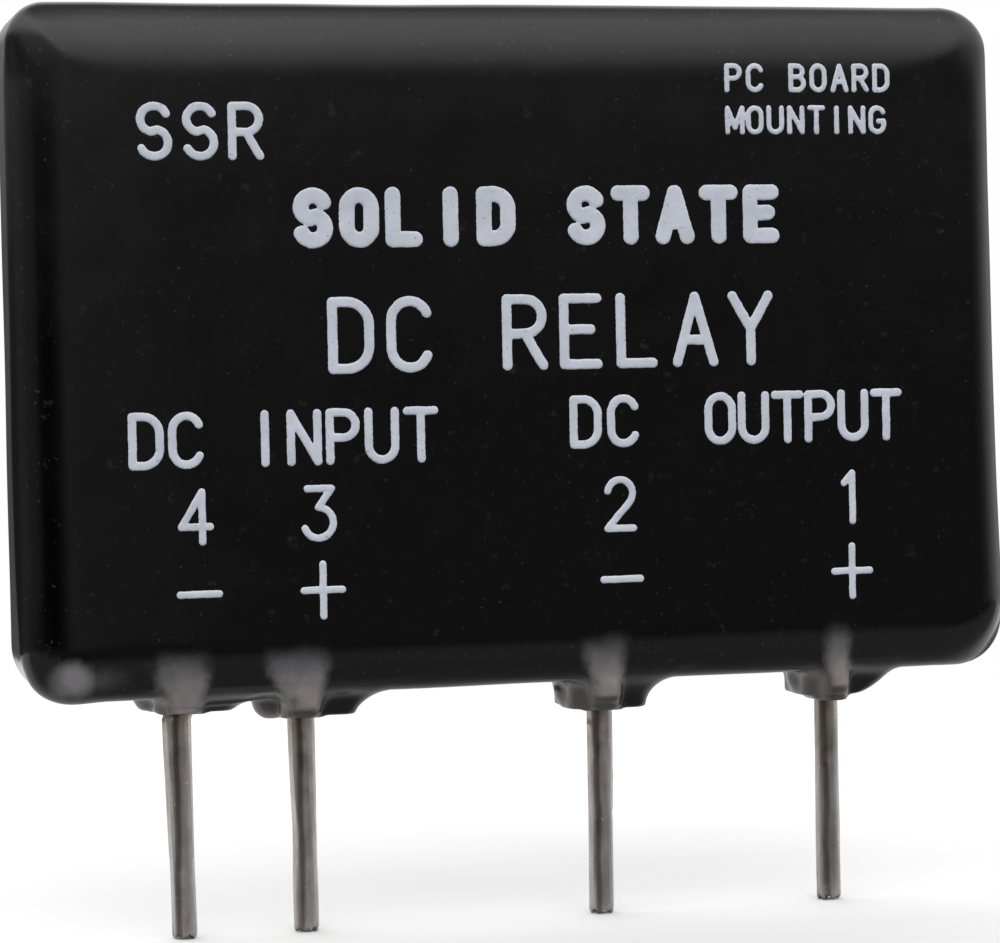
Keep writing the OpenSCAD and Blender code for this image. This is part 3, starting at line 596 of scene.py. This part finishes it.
def build_print():
    """Thin closed film for every stroke, that lies on the face and sinks a little into the coat."""
    xs = np.arange(X0 + 3, X1 - 0.5, PRINT_GRID)
    zs = np.arange(Z0 + 2.4, Z1 - 1.5, PRINT_GRID)
    gx, gz, field = ink_field(xs, zs)
    centre = (field[:-1, :-1] + field[1:, :-1] + field[:-1, 1:] + field[1:, 1:]) / 4
    i, j = np.argwhere(centre < 0).T
    rows = len(zs)
    quads = np.stack([i * rows + j, (i + 1) * rows + j, (i + 1) * rows + j + 1, i * rows + j + 1], axis=1)
    used, flat = np.unique(quads, return_inverse=True)
    quads = flat.reshape(-1, 4)
    n = len(used)
    x, z = gx.ravel()[used].copy(), gz.ravel()[used].copy()
    slope_x, slope_z = np.gradient(field, PRINT_GRID)
    value, dx, dz = field.ravel()[used], slope_x.ravel()[used], slope_z.ravel()[used]
    # the rim's points are moved onto the edge of the ink
    rim = rim_edges(quads, n)
    on_rim = np.zeros(n, bool)
    on_rim[rim.ravel()] = True
    size = np.maximum(dx ** 2 + dz ** 2, 0.3)
    shift = np.clip(value / size, -PRINT_GRID * 0.75, PRINT_GRID * 0.75)
    x[on_rim] -= (shift * dx)[on_rim]
    z[on_rim] -= (shift * dz)[on_rim]
    value = np.where(on_rim, 0, value)
    # height of the face under each point, then a film that thins towards the edge of each stroke
    face = uneven(half_thickness(x, z), x, np.full(n, -HALF), z)
    film = INK_RIM + INK_BODY * smooth01(-value / INK_SLOPE) + 0.0012 * waves(33, (x, z), 0.3)
    front_y = np.maximum(-(face + film), ink_low[1])
    back_y = -(face - INK_SUNK)
    verts = np.concatenate([np.stack([x, front_y, z], axis=1), np.stack([x, back_y, z], axis=1)])
    faces = quads.tolist() + (quads[:, ::-1] + n).tolist()
    faces += [(a, a + n, b + n, b) for a, b in rim.tolist()]
    return verts, faces


print_verts, print_faces = build_print()
ink = mesh_object("print_visual", print_verts, print_faces)
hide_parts("marking_ink")
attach(ink, "root")


# ---------- pins ----------

PIN_SEGMENTS = 80
PIN_RINGS = 96
TIP = pin_low[2] + 0.03
# How far each pin stands off its axis at the coat and at its end
LEAN = [(0.0, -0.03), (0.07, -0.02), (-0.03, 0.01), (-0.12, 0.02)]
# How much thicker each pin is at the coat, where solder and coat cling to it, and how far down this fades out
THICKER = [-0.02, 0.025, 0.04, 0.075]
THICKER_FROM = 6
# The crop has a small bevel, and its ragged edge dies out over this height
BEVEL = 0.075
BEVEL_HEIGHT = 0.14
RAGGED_HEIGHT = 0.3
# Nicks and knocks of each pin, as (depth outwards, height, its reach, angle in degrees, its reach in radians)
MARKS = {
    2: [(-0.06, -4.75, 0.14, 350, 0.35), (0.05, -0.95, 0.1, 195, 0.3), (0.022, -3.2, 0.2, 345, 0.35)],
    3: [(-0.09, -5.0, 1.7, 190, 0.6)],
}
# Pin 4 has a flat from this height down to its end
FLAT_PIN = 4
FLAT_TOP = -5.3
# Flattened part in the coat: half width of its neck and half thickness
NECK_HALF = 0.4
FLAT_HALF = 0.3


def pin_radius(number, theta, z):
    """Distance of the drawn wire's surface from its axis, all round at one height."""
    seed = 60 + 10 * number
    above_tip = z - TIP
    r = np.full(len(theta), PIN_R + 0.008 + THICKER[number - 1] * smooth01(1 + z / THICKER_FROM))
    r = r + 0.004 * waves(seed + 2, (theta, np.full(len(theta), z * 0.05)), 0.22)
    r = r + 0.006 * waves(seed + 3, (theta, np.full(len(theta), z * 0.35)), 1.1)
    r = r - BEVEL * max(0.0, 1 - above_tip / BEVEL_HEIGHT) ** 2
    for depth, height, reach, angle, angle_reach in MARKS.get(number, []):
        r = r + depth * bump(z, height, reach) * bump(theta, math.radians(angle), angle_reach)
    if number == FLAT_PIN:
        r = r - 0.03 * smooth01((FLAT_TOP - z) / 0.5) * bump(theta, math.radians(185), 0.5)
    return r


def superellipse(theta, half_x, half_y, power, z):
    """Ring that goes from an ellipse (power 2) towards a rectangle (higher powers)."""
    c, s = np.cos(theta), np.sin(theta)
    x = half_x * np.sign(c) * np.abs(c) ** (2 / power)
    y = half_y * np.sign(s) * np.abs(s) ** (2 / power)
    return np.stack([x, y, np.full(len(theta), z)], axis=1)


def pin_rings(number, theta):
    """Rings about the pin's axis from the cropped end up to the end of the paddle on the board."""
    seed = 60 + 10 * number
    neck = max(0.14, FEET[number - 1]["floor"] + 0.3)
    ragged = 0.075 * waves(seed, (theta * 0.9,), 0.8) + 0.045 * waves(seed + 1, (theta * 0.9,), 0.25) + 0.02
    # round length, from the crop up to just inside the coat
    crop = TIP + np.array([0.0, 0.02, 0.05, 0.09, BEVEL_HEIGHT, 0.2])
    rings = []
    for z in np.concatenate([crop, np.linspace(TIP + 0.28, neck, PIN_RINGS)]):
        r = pin_radius(number, theta, z)
        height = z + ragged * max(0.0, 1 - (z - TIP) / RAGGED_HEIGHT)
        rings.append(np.stack([r * np.cos(theta), r * np.sin(theta), height], axis=1))
    # flattened neck and paddle, as (height, half width, half thickness, power)
    inner, paddle = inner_low[2], pin_high[2]
    for z, half_x, half_y, power in (
        (neck + 0.01, PIN_R, PIN_R, 2), (neck + 0.06, 0.44, 0.42, 3), (neck + 0.14, NECK_HALF, FLAT_HALF, 5),
        (inner + 0.02, NECK_HALF, FLAT_HALF, 7), (inner + 0.1, 0.5, FLAT_HALF, 7),
        (inner + 0.2, 0.73, FLAT_HALF, 8), (paddle - 0.05, 0.75, FLAT_HALF, 8),
        (paddle, 0.7, FLAT_HALF - 0.05, 8),
    ):
        rings.append(superellipse(theta, half_x, half_y, power, z))
    # smaller rings close the cropped end
    rng = np.random.RandomState(seed + 5)
    caps = []
    for scale, rise in ((0.8, 0.012), (0.5, 0.03), (0.2, 0.035)):
        ring = rings[0].copy()
        ring[:, :2] *= scale
        ring[:, 2] = TIP + (ring[:, 2] - TIP) * scale + rise + 0.01 * rng.uniform(-1, 1, len(theta))
        caps.append(ring)
    return caps[::-1] + rings


def pin_mesh(number, px, lean):
    """Drawn wire with fine lines along it and a cropped, slightly ragged end, flattened inside the coat."""
    n = PIN_SEGMENTS
    rings = pin_rings(number, np.linspace(0, 2 * math.pi, n, endpoint=False))
    verts = np.concatenate(rings)
    down = np.clip(verts[:, 2] / pin_low[2], 0, 1)
    verts[:, 0] += px + (lean[0] + (lean[1] - lean[0]) * down) * smooth01(-verts[:, 2] / 0.4 + 1)
    verts[:, 2] = np.minimum(verts[:, 2], pin_high[2])
    last = (len(rings) - 1) * n
    faces = [
        (start + i, start + (i + 1) % n, start + n + (i + 1) % n, start + n + i)
        for start in range(0, last, n) for i in range(n)
    ]
    faces += [tuple(range(n - 1, -1, -1)), tuple(last + i for i in range(n))]
    return verts, faces


pins = []
for number, px in enumerate(PIN_X, start=1):
    pin_verts, pin_faces = pin_mesh(number, px, LEAN[number - 1])
    pin = mesh_object(f"pin_{number}_visual", pin_verts, pin_faces)
    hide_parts(f"pin_{number}")
    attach(pin, "root")
    pins.append(pin)


# ---------- materials ----------

class Nodes:
    """Short way to write a node tree."""

    def __init__(self, name):
        self.material = bpy.data.materials.new(name)
        self.material.use_nodes = True
        self.tree = self.material.node_tree
        self.bsdf = self.tree.nodes["Principled BSDF"]
        coord = self.tree.nodes.new("ShaderNodeTexCoord")
        self.where = coord.outputs["Object"]

    def new(self, kind, **inputs):
        node = self.tree.nodes.new(kind)
        for key, value in inputs.items():
            self.put(node.inputs[key.replace("_", " ")], value)
        return node

    def put(self, socket, value):
        if isinstance(value, bpy.types.NodeSocket):
            self.tree.links.new(value, socket)
        else:
            socket.default_value = value

    def noise(self, scale, detail=3.0, roughness=0.55, stretch=None):
        where = self.where
        if stretch:
            mapping = self.new("ShaderNodeMapping", Vector=where)
            mapping.inputs["Scale"].default_value = stretch
            where = mapping.outputs["Vector"]
        node = self.new("ShaderNodeTexNoise", Vector=where, Scale=scale, Detail=detail, Roughness=roughness)
        return node.outputs["Fac"]

    def ramp(self, factor, *stops):
        node = self.new("ShaderNodeValToRGB", Fac=factor)
        elements = node.color_ramp.elements
        while len(elements) < len(stops):
            elements.new(0.5)
        for element, (position, value) in zip(elements, stops):
            element.position = position
            element.color = (*value, 1) if isinstance(value, tuple) else (value, value, value, 1)
        return node.outputs["Color"]

    def mix(self, factor, a, b, blend="MIX"):
        node = self.tree.nodes.new("ShaderNodeMix")
        node.data_type = "RGBA"
        node.blend_type = blend
        self.put(node.inputs[0], factor)
        for socket, value in ((node.inputs[6], a), (node.inputs[7], b)):
            self.put(socket, (*value, 1) if isinstance(value, tuple) else value)
        return node.outputs[2]

    def tinted(self, colour, tint):
        return self.mix(1.0, colour, tint, "MULTIPLY")

    def math(self, operation, a, b=None):
        node = self.tree.nodes.new("ShaderNodeMath")
        node.operation = operation
        self.put(node.inputs[0], a)
        if b is not None:
            self.put(node.inputs[1], b)
        return node.outputs[0]

    def plus(self, a, b):
        return self.math("ADD", a, b)

    def minus(self, a, b):
        return self.math("SUBTRACT", a, b)

    def times(self, first, *others):
        for other in others:
            first = self.math("MULTIPLY", first, other)
        return first

    def largest(self, first, *others):
        for other in others:
            first = self.math("MAXIMUM", first, other)
        return first

    def away(self, value, centre):
        """How far the value is from the centre, to either side."""
        return self.math("ABSOLUTE", self.minus(value, centre))

    def wander(self, noise, width):
        """Turns noise into a shift of up to half the width to either side."""
        return self.times(self.minus(noise, 0.5), width)

    def spread(self, value, low, high):
        """0 where the value is at low, 1 where it is at high, and smooth between."""
        node = self.new("ShaderNodeMapRange", Value=value)
        node.interpolation_type = "SMOOTHSTEP"
        node.inputs["From Min"].default_value = low
        node.inputs["From Max"].default_value = high
        return node.outputs[0]

    def bumped(self, height, strength, distance, normal=None):
        node = self.new("ShaderNodeBump", Height=height, Strength=strength, Distance=distance)
        if normal is not None:
            self.put(node.inputs["Normal"], normal)
        return node.outputs["Normal"]

    def set(self, **inputs):
        for key, value in inputs.items():
            if isinstance(value, tuple) and len(value) == 3:
                value = (*value, 1)
            self.put(self.bsdf.inputs[key.replace("_", " ")], value)
        return self.material


# Depths of the bumps, in metres
FINE_DEPTH = 0.000004
GRAIN_DEPTH = 0.00001
WAVE_DEPTH = 0.00002
SMOOTH_DEPTH = 0.000001
# Colours of the painted highlight on the coat, from high on the ridges to low at the pins
PAINTED_HIGHLIGHT_HIGH = (0.27, 0.262, 0.274)
PAINTED_HIGHLIGHT_LOW = (0.44, 0.39, 0.38)
# The drips get only this much of the painted highlight
DRIP_PAINTED_HIGHLIGHT = 0.26
# Painted highlight on the ball of coat at the lower left corner: half its width and half its height
PATCH_HALF = (1.1, 0.85)


def ridge_haze(n, across, height):
    """Where the coat over the pins gets a painted highlight and a rougher haze: a band down each ridge."""
    grow = n.spread(height, 0.4 * MM, 2.4 * MM)
    bands = []
    for px, ridge in zip(PIN_X, RIDGES):
        low_x, low_r = ridge["low_x"], ridge["low_r"]
        middle = n.times(grow, (ridge["top_x"] - low_x) * MM)
        off = n.away(n.minus(across, middle), (px + low_x) * MM)
        off = n.minus(off, n.times(grow, (ridge["top_r"] - low_r) * MM))
        bands.append(n.spread(off, (low_r + 0.08) * MM, (low_r - 0.6) * MM))
    return n.largest(*bands)


def drip_haze(n, across, z):
    """Where the drips at the left of the feet get a painted highlight."""
    bands = []
    for px, foot in zip(PIN_X, FEET):
        off = n.away(across, (px + foot["drip"][0] - 0.1) * MM)
        bands.append(n.spread(off, 0.85 * MM, 0.3 * MM))
    return n.times(n.largest(*bands), n.spread(z, 1.5 * MM, 0.8 * MM), DRIP_PAINTED_HIGHLIGHT)


def patch_haze(n, across, height):
    """Painted highlight, with a rougher haze, on the ball of coat at the lower left corner, with a faint tail
    to its right.
    """
    off_x = n.math("DIVIDE", n.minus(across, (X0 + 1.95) * MM), PATCH_HALF[0] * MM)
    off_z = n.math("DIVIDE", n.minus(height, (Z0 + 0.95) * MM), PATCH_HALF[1] * MM)
    off = n.math("SQRT", n.plus(n.math("POWER", off_x, 2.0), n.math("POWER", off_z, 2.0)))
    tail_start = n.spread(across, (X0 + 1.9) * MM, (X0 + 2.4) * MM)
    tail_end = n.spread(across, (X0 + 4.6) * MM, (X0 + 2.4) * MM)
    tail_height = n.spread(n.math("ABSOLUTE", off_z), 0.75, 0.1)
    return n.largest(n.spread(off, 1.15, 0.25), n.times(tail_start, tail_end, tail_height, 0.3))


def coat_material():
    """Glossy black epoxy with dust and smudges, greyer and rougher down the ridges over the pins and on the
    ball at the lower left corner, a painted highlight there, and greyer on the drips.
    """
    n = Nodes("coat_black_epoxy")
    tone = n.ramp(n.noise(140, 4), (0.35, (0.0009, 0.0009, 0.001)), (0.7, (0.002, 0.0019, 0.002)))
    dust = n.ramp(n.noise(5200, 1.5, 0.4), (0.71, 0.0), (0.76, 1.0))
    colour = n.mix(dust, tone, (0.028, 0.028, 0.03))
    smudges = n.ramp(n.noise(1500, 3, 0.7), (0.63, 0.0), (0.78, 1.0))
    colour = n.mix(smudges, colour, (0.019, 0.019, 0.02))

    x, y, z = n.new("ShaderNodeSeparateXYZ", Vector=n.where).outputs
    shift = n.wander(n.noise(900, 3, 0.55), 0.6 * MM)
    across, height = n.plus(x, shift), n.plus(z, shift)
    front = n.spread(y, -1.2 * MM, -1.9 * MM)
    cloud = n.ramp(n.noise(1500, 4, 0.6), (0.25, 0.72), (0.75, 1.0))
    # less of the painted highlight and haze on the lowest lip of the ridge
    lip = n.plus(n.times(n.spread(z, 0.3 * MM, 0.55 * MM), 0.76), 0.24)
    low = n.spread(height, 3.25 * MM, 1.5 * MM)
    # the grey mixed in below is a painted highlight; the same mask also makes the coat rougher
    haze_and_highlight = n.times(ridge_haze(n, across, height), low, front, cloud, lip)
    haze_and_highlight = n.largest(haze_and_highlight, n.times(patch_haze(n, across, height), front))
    painted_highlight_colour = n.mix(n.spread(height, 2.2 * MM, 0.7 * MM), PAINTED_HIGHLIGHT_HIGH, PAINTED_HIGHLIGHT_LOW)
    colour = n.mix(n.largest(haze_and_highlight, drip_haze(n, across, z)), colour, painted_highlight_colour)

    rough = n.ramp(n.noise(420, 5, 0.65), (0.3, 0.11), (0.75, 0.17))
    rough = n.mix(n.spread(z, 1.7 * MM, 0.9 * MM), rough, (0.27, 0.27, 0.27))
    rough = n.mix(haze_and_highlight, rough, (0.6, 0.6, 0.6))
    waviness = n.bumped(n.noise(330, 3), 0.2, WAVE_DEPTH)
    normal = n.bumped(n.noise(2600, 4, 0.6), 0.25, FINE_DEPTH, waviness)
    return n.set(Base_Color=colour, Roughness=rough, Normal=normal, IOR=1.52)


def ink_material():
    """White ink with thin spots."""
    n = Nodes("print_white_ink")
    tone = n.ramp(n.noise(900, 4, 0.6), (0.3, (0.65, 0.7, 0.8)), (0.7, (0.8, 0.84, 0.94)))
    thin = n.ramp(n.noise(6500, 2, 0.5), (0.66, 0.0), (0.74, 1.0))
    colour = n.mix(thin, tone, (0.42, 0.45, 0.52))
    rough = n.ramp(n.noise(3000, 3), (0.3, 0.42), (0.7, 0.62))
    normal = n.bumped(n.noise(7000, 3), 0.35, 0.000008)
    return n.set(Base_Color=colour, Roughness=rough, Normal=normal)


def pin_material():
    """Tinned wire: streaks along it, a painted dark reflection down the front, and stains that grow towards
    the coat.
    """
    n = Nodes("pin_tinned_copper")
    along = n.noise(1, 3, 0.5, (4200, 4200, 90))
    tone = n.ramp(
        along, (0.3, (0.48, 0.455, 0.44)), (0.52, (0.59, 0.565, 0.55)), (0.75, (0.7, 0.675, 0.665)))
    x, y, z = n.new("ShaderNodeSeparateXYZ", Vector=n.where).outputs
    across = n.plus(x, n.wander(n.noise(1, 2, 0.5, (300, 300, 260)), 0.3 * MM))
    # painted dark reflection: a band down the front of each pin, a little left of its axis
    bands = [n.spread(n.away(across, (px - 0.25) * MM), 0.2 * MM, 0.04 * MM) for px in PIN_X]
    painted_dark_reflection = n.times(n.largest(*bands), n.spread(y, -0.1 * MM, -0.3 * MM), 0.8)
    tone = n.mix(painted_dark_reflection, tone, (0.13, 0.108, 0.088))
    patches = n.ramp(n.noise(700, 4, 0.6), (0.35, 0.1), (0.65, 0.8))
    stain = n.times(n.spread(z, -6 * MM, 0.5 * MM), patches)
    tone = n.mix(stain, tone, n.tinted(tone, (0.86, 0.74, 0.62)))
    tint = n.ramp(n.noise(1, 4, 0.6, (1400, 1400, 500)), (0.35, (0.72, 0.7, 0.68)), (0.65, (1.0, 1.0, 1.0)))
    bright = n.ramp(n.noise(5200, 2), (0.7, 0.0), (0.78, 1.0))
    colour = n.mix(bright, n.tinted(tone, tint), (0.86, 0.84, 0.83))
    rough = n.ramp(n.noise(1500, 4, 0.6), (0.3, 0.24), (0.7, 0.4))
    normal = n.bumped(n.noise(3200, 3, 0.55), 0.2, FINE_DEPTH, n.bumped(along, 0.35, GRAIN_DEPTH))
    return n.set(Base_Color=colour, Metallic=1.0, Roughness=rough, Normal=normal)


def plain_material(name, colour, metallic, rough, scale, depth, spread=0.12, stretch=None, **extra):
    """Material of a hidden piece: mottled colour, varying roughness and a fine grain."""
    n = Nodes(name)
    grain = n.noise(scale, 4, 0.6, stretch)
    dark = tuple(c * (1 - spread) for c in colour)
    light = tuple(min(1, c * (1 + spread)) for c in colour)
    tone = n.ramp(grain, (0.3, dark), (0.7, light))
    cloud = n.noise(2500 if stretch else scale * 1.7, 3)
    roughness = n.ramp(cloud, (0.3, rough * 0.85), (0.7, min(1, rough * 1.15)))
    normal = n.bumped(grain, 0.4, depth)
    return n.set(Base_Color=tone, Metallic=metallic, Roughness=roughness, Normal=normal, **extra)


def laminate_material():
    """Green board with the weave of its glass cloth."""
    n = Nodes("board_laminate")
    wave = n.new("ShaderNodeTexWave", Vector=n.where, Scale=700.0, Distortion=0.6, Detail=2.0)
    weave = n.ramp(wave.outputs["Fac"], (0.2, (0.018, 0.085, 0.03)), (0.8, (0.028, 0.12, 0.045)))
    cloud = n.ramp(n.noise(260, 3), (0.3, (0.8, 0.8, 0.8)), (0.7, (1.0, 1.0, 1.0)))
    normal = n.bumped(wave.outputs["Fac"], 0.3, GRAIN_DEPTH)
    return n.set(Base_Color=n.tinted(weave, cloud), Roughness=0.38, Normal=normal)


# Materials by slot. A hidden piece's has a name, colour, metallic, roughness, scale and depth of its grain,
# and where they differ from the usual, the spread of its colour and the stretch of its grain.
MATERIALS = {
    "coat": coat_material(),
    "ink": ink_material(),
    "tinned_copper": pin_material(),
    "laminate": laminate_material(),
    "buffer": plain_material("buffer_silicone", (0.09, 0.092, 0.098), 0, 0.6, 900, GRAIN_DEPTH),
    "solder": plain_material("solder_tin", (0.62, 0.61, 0.58), 1, 0.32, 1500, GRAIN_DEPTH),
    "copper": plain_material("board_copper", (0.72, 0.36, 0.2), 1, 0.38, 2600, 0.000005),
    "spreader": plain_material(
        "spreader_copper", (0.74, 0.38, 0.22), 1, 0.34, 1, 0.000006, 0.1, (4000, 4000, 120)),
    "mould": plain_material("mould_black", (0.012, 0.012, 0.013), 0, 0.62, 5200, GRAIN_DEPTH, 0.25),
    "lead_plating": plain_material("lead_tin", (0.6, 0.6, 0.59), 1, 0.42, 3800, FINE_DEPTH),
    "tab_plating": plain_material("tab_tin", (0.54, 0.52, 0.5), 1, 0.4, 3000, FINE_DEPTH),
    "silicon": plain_material("die_silicon", (0.12, 0.125, 0.15), 0.4, 0.18, 6000, SMOOTH_DEPTH),
    "bond": plain_material(
        "bond_aluminium", (0.78, 0.78, 0.8), 1, 0.3, 1, 0.000003, 0.08, (9000, 900, 9000)),
    "isolator_mould": plain_material("mould_white", (0.72, 0.7, 0.62), 0, 0.6, 5200, GRAIN_DEPTH, 0.06),
    "led_chip": plain_material("chip_emitter", (0.5, 0.09, 0.06), 0.2, 0.25, 8000, SMOOTH_DEPTH),
    "clear_gel": plain_material(
        "gel_clear", (0.9, 0.92, 0.95), 0, 0.08, 1200, 0.000003, 0.02, Transmission_Weight=0.9, IOR=1.41),
    "resistor": plain_material("resistor_glaze", (0.016, 0.016, 0.02), 0, 0.3, 4200, FINE_DEPTH, 0.2),
    "capacitor": plain_material("capacitor_ceramic", (0.36, 0.22, 0.11), 0, 0.55, 6200, 0.000006),
    "chip_cap": plain_material("cap_tin", (0.66, 0.66, 0.65), 1, 0.36, 4200, FINE_DEPTH),
}


def wear(ob, slot):
    ob.data.materials.clear()
    ob.data.materials.append(MATERIALS[slot])


for entry in RECORD["subparts"]:
    wear(frame["nodes"][entry["node"]], entry["material_slot"])
wear(coat, "coat")
wear(ink, "ink")
for pin in pins:
    wear(pin, "tinned_copper")


# ---------- floor ----------

FLOOR_Z = pin_low[2] - 0.06
FLOOR_RADIUS = 105


def floor_disc(rings=6, segments=96):
    """Flat disc under the middle of the body."""
    centre_x = (X0 + X1) / 2
    verts = [(centre_x, 0.0, FLOOR_Z)]
    for k in range(1, rings + 1):
        r = FLOOR_RADIUS * k / rings
        for i in range(segments):
            a = 2 * math.pi * i / segments
            verts.append((r * math.cos(a) + centre_x, r * math.sin(a), FLOOR_Z))
    faces = [(0, 1 + i, 1 + (i + 1) % segments) for i in range(segments)]
    for k in range(rings - 1):
        a0, b0 = 1 + k * segments, 1 + (k + 1) * segments
        for i in range(segments):
            j = (i + 1) % segments
            faces.append((a0 + i, b0 + i, b0 + j, a0 + j))
    return verts, faces


def floor_material():
    """Pale paper. Reflections see it darker in front, which keeps them off the printed face."""
    n = Nodes("floor_paper")
    paper = n.ramp(n.noise(60, 3), (0.3, 0.83), (0.7, 0.86))
    y = n.new("ShaderNodeSeparateXYZ", Vector=n.where).outputs["Y"]
    reflected = n.mix(n.spread(y, -48 * MM, -20 * MM), (0.02, 0.02, 0.02), (0.22, 0.22, 0.22))
    reflected = n.mix(n.spread(y, -6 * MM, 4 * MM), reflected, (0.7, 0.7, 0.7))
    seen = n.new("ShaderNodeLightPath").outputs["Is Camera Ray"]
    return n.set(Base_Color=n.mix(seen, reflected, paper), Roughness=0.9)


floor = mesh_object("floor", *floor_disc())
floor.data.materials.append(floor_material())


# ---------- light ----------

# Soft light from all round, as levels along a direction's Z for the light from above, and near the horizon
# along its X from left to right and along its Y for the light from behind
SKY = [(0.0, 0.0), (0.035, 0.015), (0.11, 0.14), (0.17, 0.46), (0.25, 0.92), (0.39, 1.32), (0.56, 1.8),
       (0.84, 2.0), (0.92, 1.3), (0.98, 0.6)]
SIDES = [(-1.0, 0.17), (-0.88, 0.13), (-0.7, 0.03), (-0.5, 0.0), (-0.3, 0.0), (-0.1, 0.06), (0.0, 0.16),
         (0.09, 0.24), (0.16, 0.1), (0.42, 0.1), (0.68, 0.26), (0.88, 0.62), (1.0, 0.85)]
BEHIND = [(0.0, 0.0), (0.3, 0.035)]
# Share of the light from above, from left to right, and share of the low light, by height
FALL = [(-1.0, 1.0), (0.08, 1.0), (0.27, 0.8), (0.5, 0.7)]
LOW = [(0.0, 1.0), (0.25, 0.65), (0.6, 0.0)]
# A ramp's colours go up to 1, so they hold the levels as shares of this one
FULL = 2.0


def world_ramp(factor, stops, full=1):
    node = tree.nodes.new("ShaderNodeValToRGB")
    tree.links.new(factor, node.inputs["Fac"])
    elements = node.color_ramp.elements
    while len(elements) < len(stops):
        elements.new(0.5)
    for element, (position, value) in zip(elements, stops):
        element.position = position
        element.color = (value / full, value / full, value / full, 1)
    return node.outputs["Color"]


def from_left(stops):
    """The same stops, along 0 to 1 instead of -1 to 1."""
    return [((position + 1) / 2, value) for position, value in stops]


def combine(blend, a, b):
    node = tree.nodes.new("ShaderNodeMix")
    node.data_type = "RGBA"
    node.blend_type = blend
    node.inputs[0].default_value = 1.0
    tree.links.new(a, node.inputs[6])
    tree.links.new(b, node.inputs[7])
    return node.outputs[2]


world = bpy.data.worlds.new("studio")
bpy.context.scene.world = world
world.use_nodes = True
tree = world.node_tree
tree.nodes.clear()
direction = tree.nodes.new("ShaderNodeSeparateXYZ")
tree.links.new(tree.nodes.new("ShaderNodeTexCoord").outputs["Generated"], direction.inputs[0])
east, north, up = direction.outputs
across = tree.nodes.new("ShaderNodeMapRange")
across.inputs["From Min"].default_value = -1
tree.links.new(east, across.inputs["Value"])
across = across.outputs[0]
above = combine("MULTIPLY", world_ramp(up, SKY, FULL), world_ramp(across, from_left(FALL)))
low = combine("ADD", world_ramp(across, from_left(SIDES), FULL), world_ramp(north, BEHIND, FULL))
low = combine("MULTIPLY", low, world_ramp(up, LOW))
sky = tree.nodes.new("ShaderNodeBackground")
sky.inputs["Strength"].default_value = FULL
tree.links.new(combine("ADD", above, low), sky.inputs["Color"])
# the camera itself sees a plain white backdrop
backdrop = tree.nodes.new("ShaderNodeBackground")
backdrop.inputs["Color"].default_value = (1, 1, 1, 1)
choose = tree.nodes.new("ShaderNodeMixShader")
tree.links.new(tree.nodes.new("ShaderNodeLightPath").outputs["Is Camera Ray"], choose.inputs[0])
tree.links.new(sky.outputs[0], choose.inputs[1])
tree.links.new(backdrop.outputs[0], choose.inputs[2])
tree.links.new(choose.outputs[0], tree.nodes.new("ShaderNodeOutputWorld").inputs[0])


# ---------- camera ----------

# Lens for a sensor 36 wide, place in the part's frame, and angles in degrees: its turn about +Z from
# looking along +Y, its tilt above level, and its roll
LENS = 119.67
CAMERA_AT = (-47.822, -134.893, 13.385)
TURN = -14.0
TILT = -1.4767
CAMERA_ROLL = -1.2478

camera_data = bpy.data.cameras.new("camera")
camera = bpy.data.objects.new("camera", camera_data)
bpy.context.collection.objects.link(camera)
camera_data.sensor_fit = "HORIZONTAL"
camera_data.sensor_width = 36
camera_data.lens = LENS
camera_data.clip_start = 0.005
camera_data.clip_end = 20
pose = Matrix.Rotation(math.radians(TURN), 4, "Z")
pose = pose @ Matrix.Rotation(math.radians(90 + TILT), 4, "X")
pose = pose @ Matrix.Rotation(math.radians(CAMERA_ROLL), 4, "Z")
pose.translation = Vector(CAMERA_AT) * MM
camera.matrix_world = pose
bpy.context.scene.camera = camera
bpy.context.scene.view_settings.view_transform = "Standard"
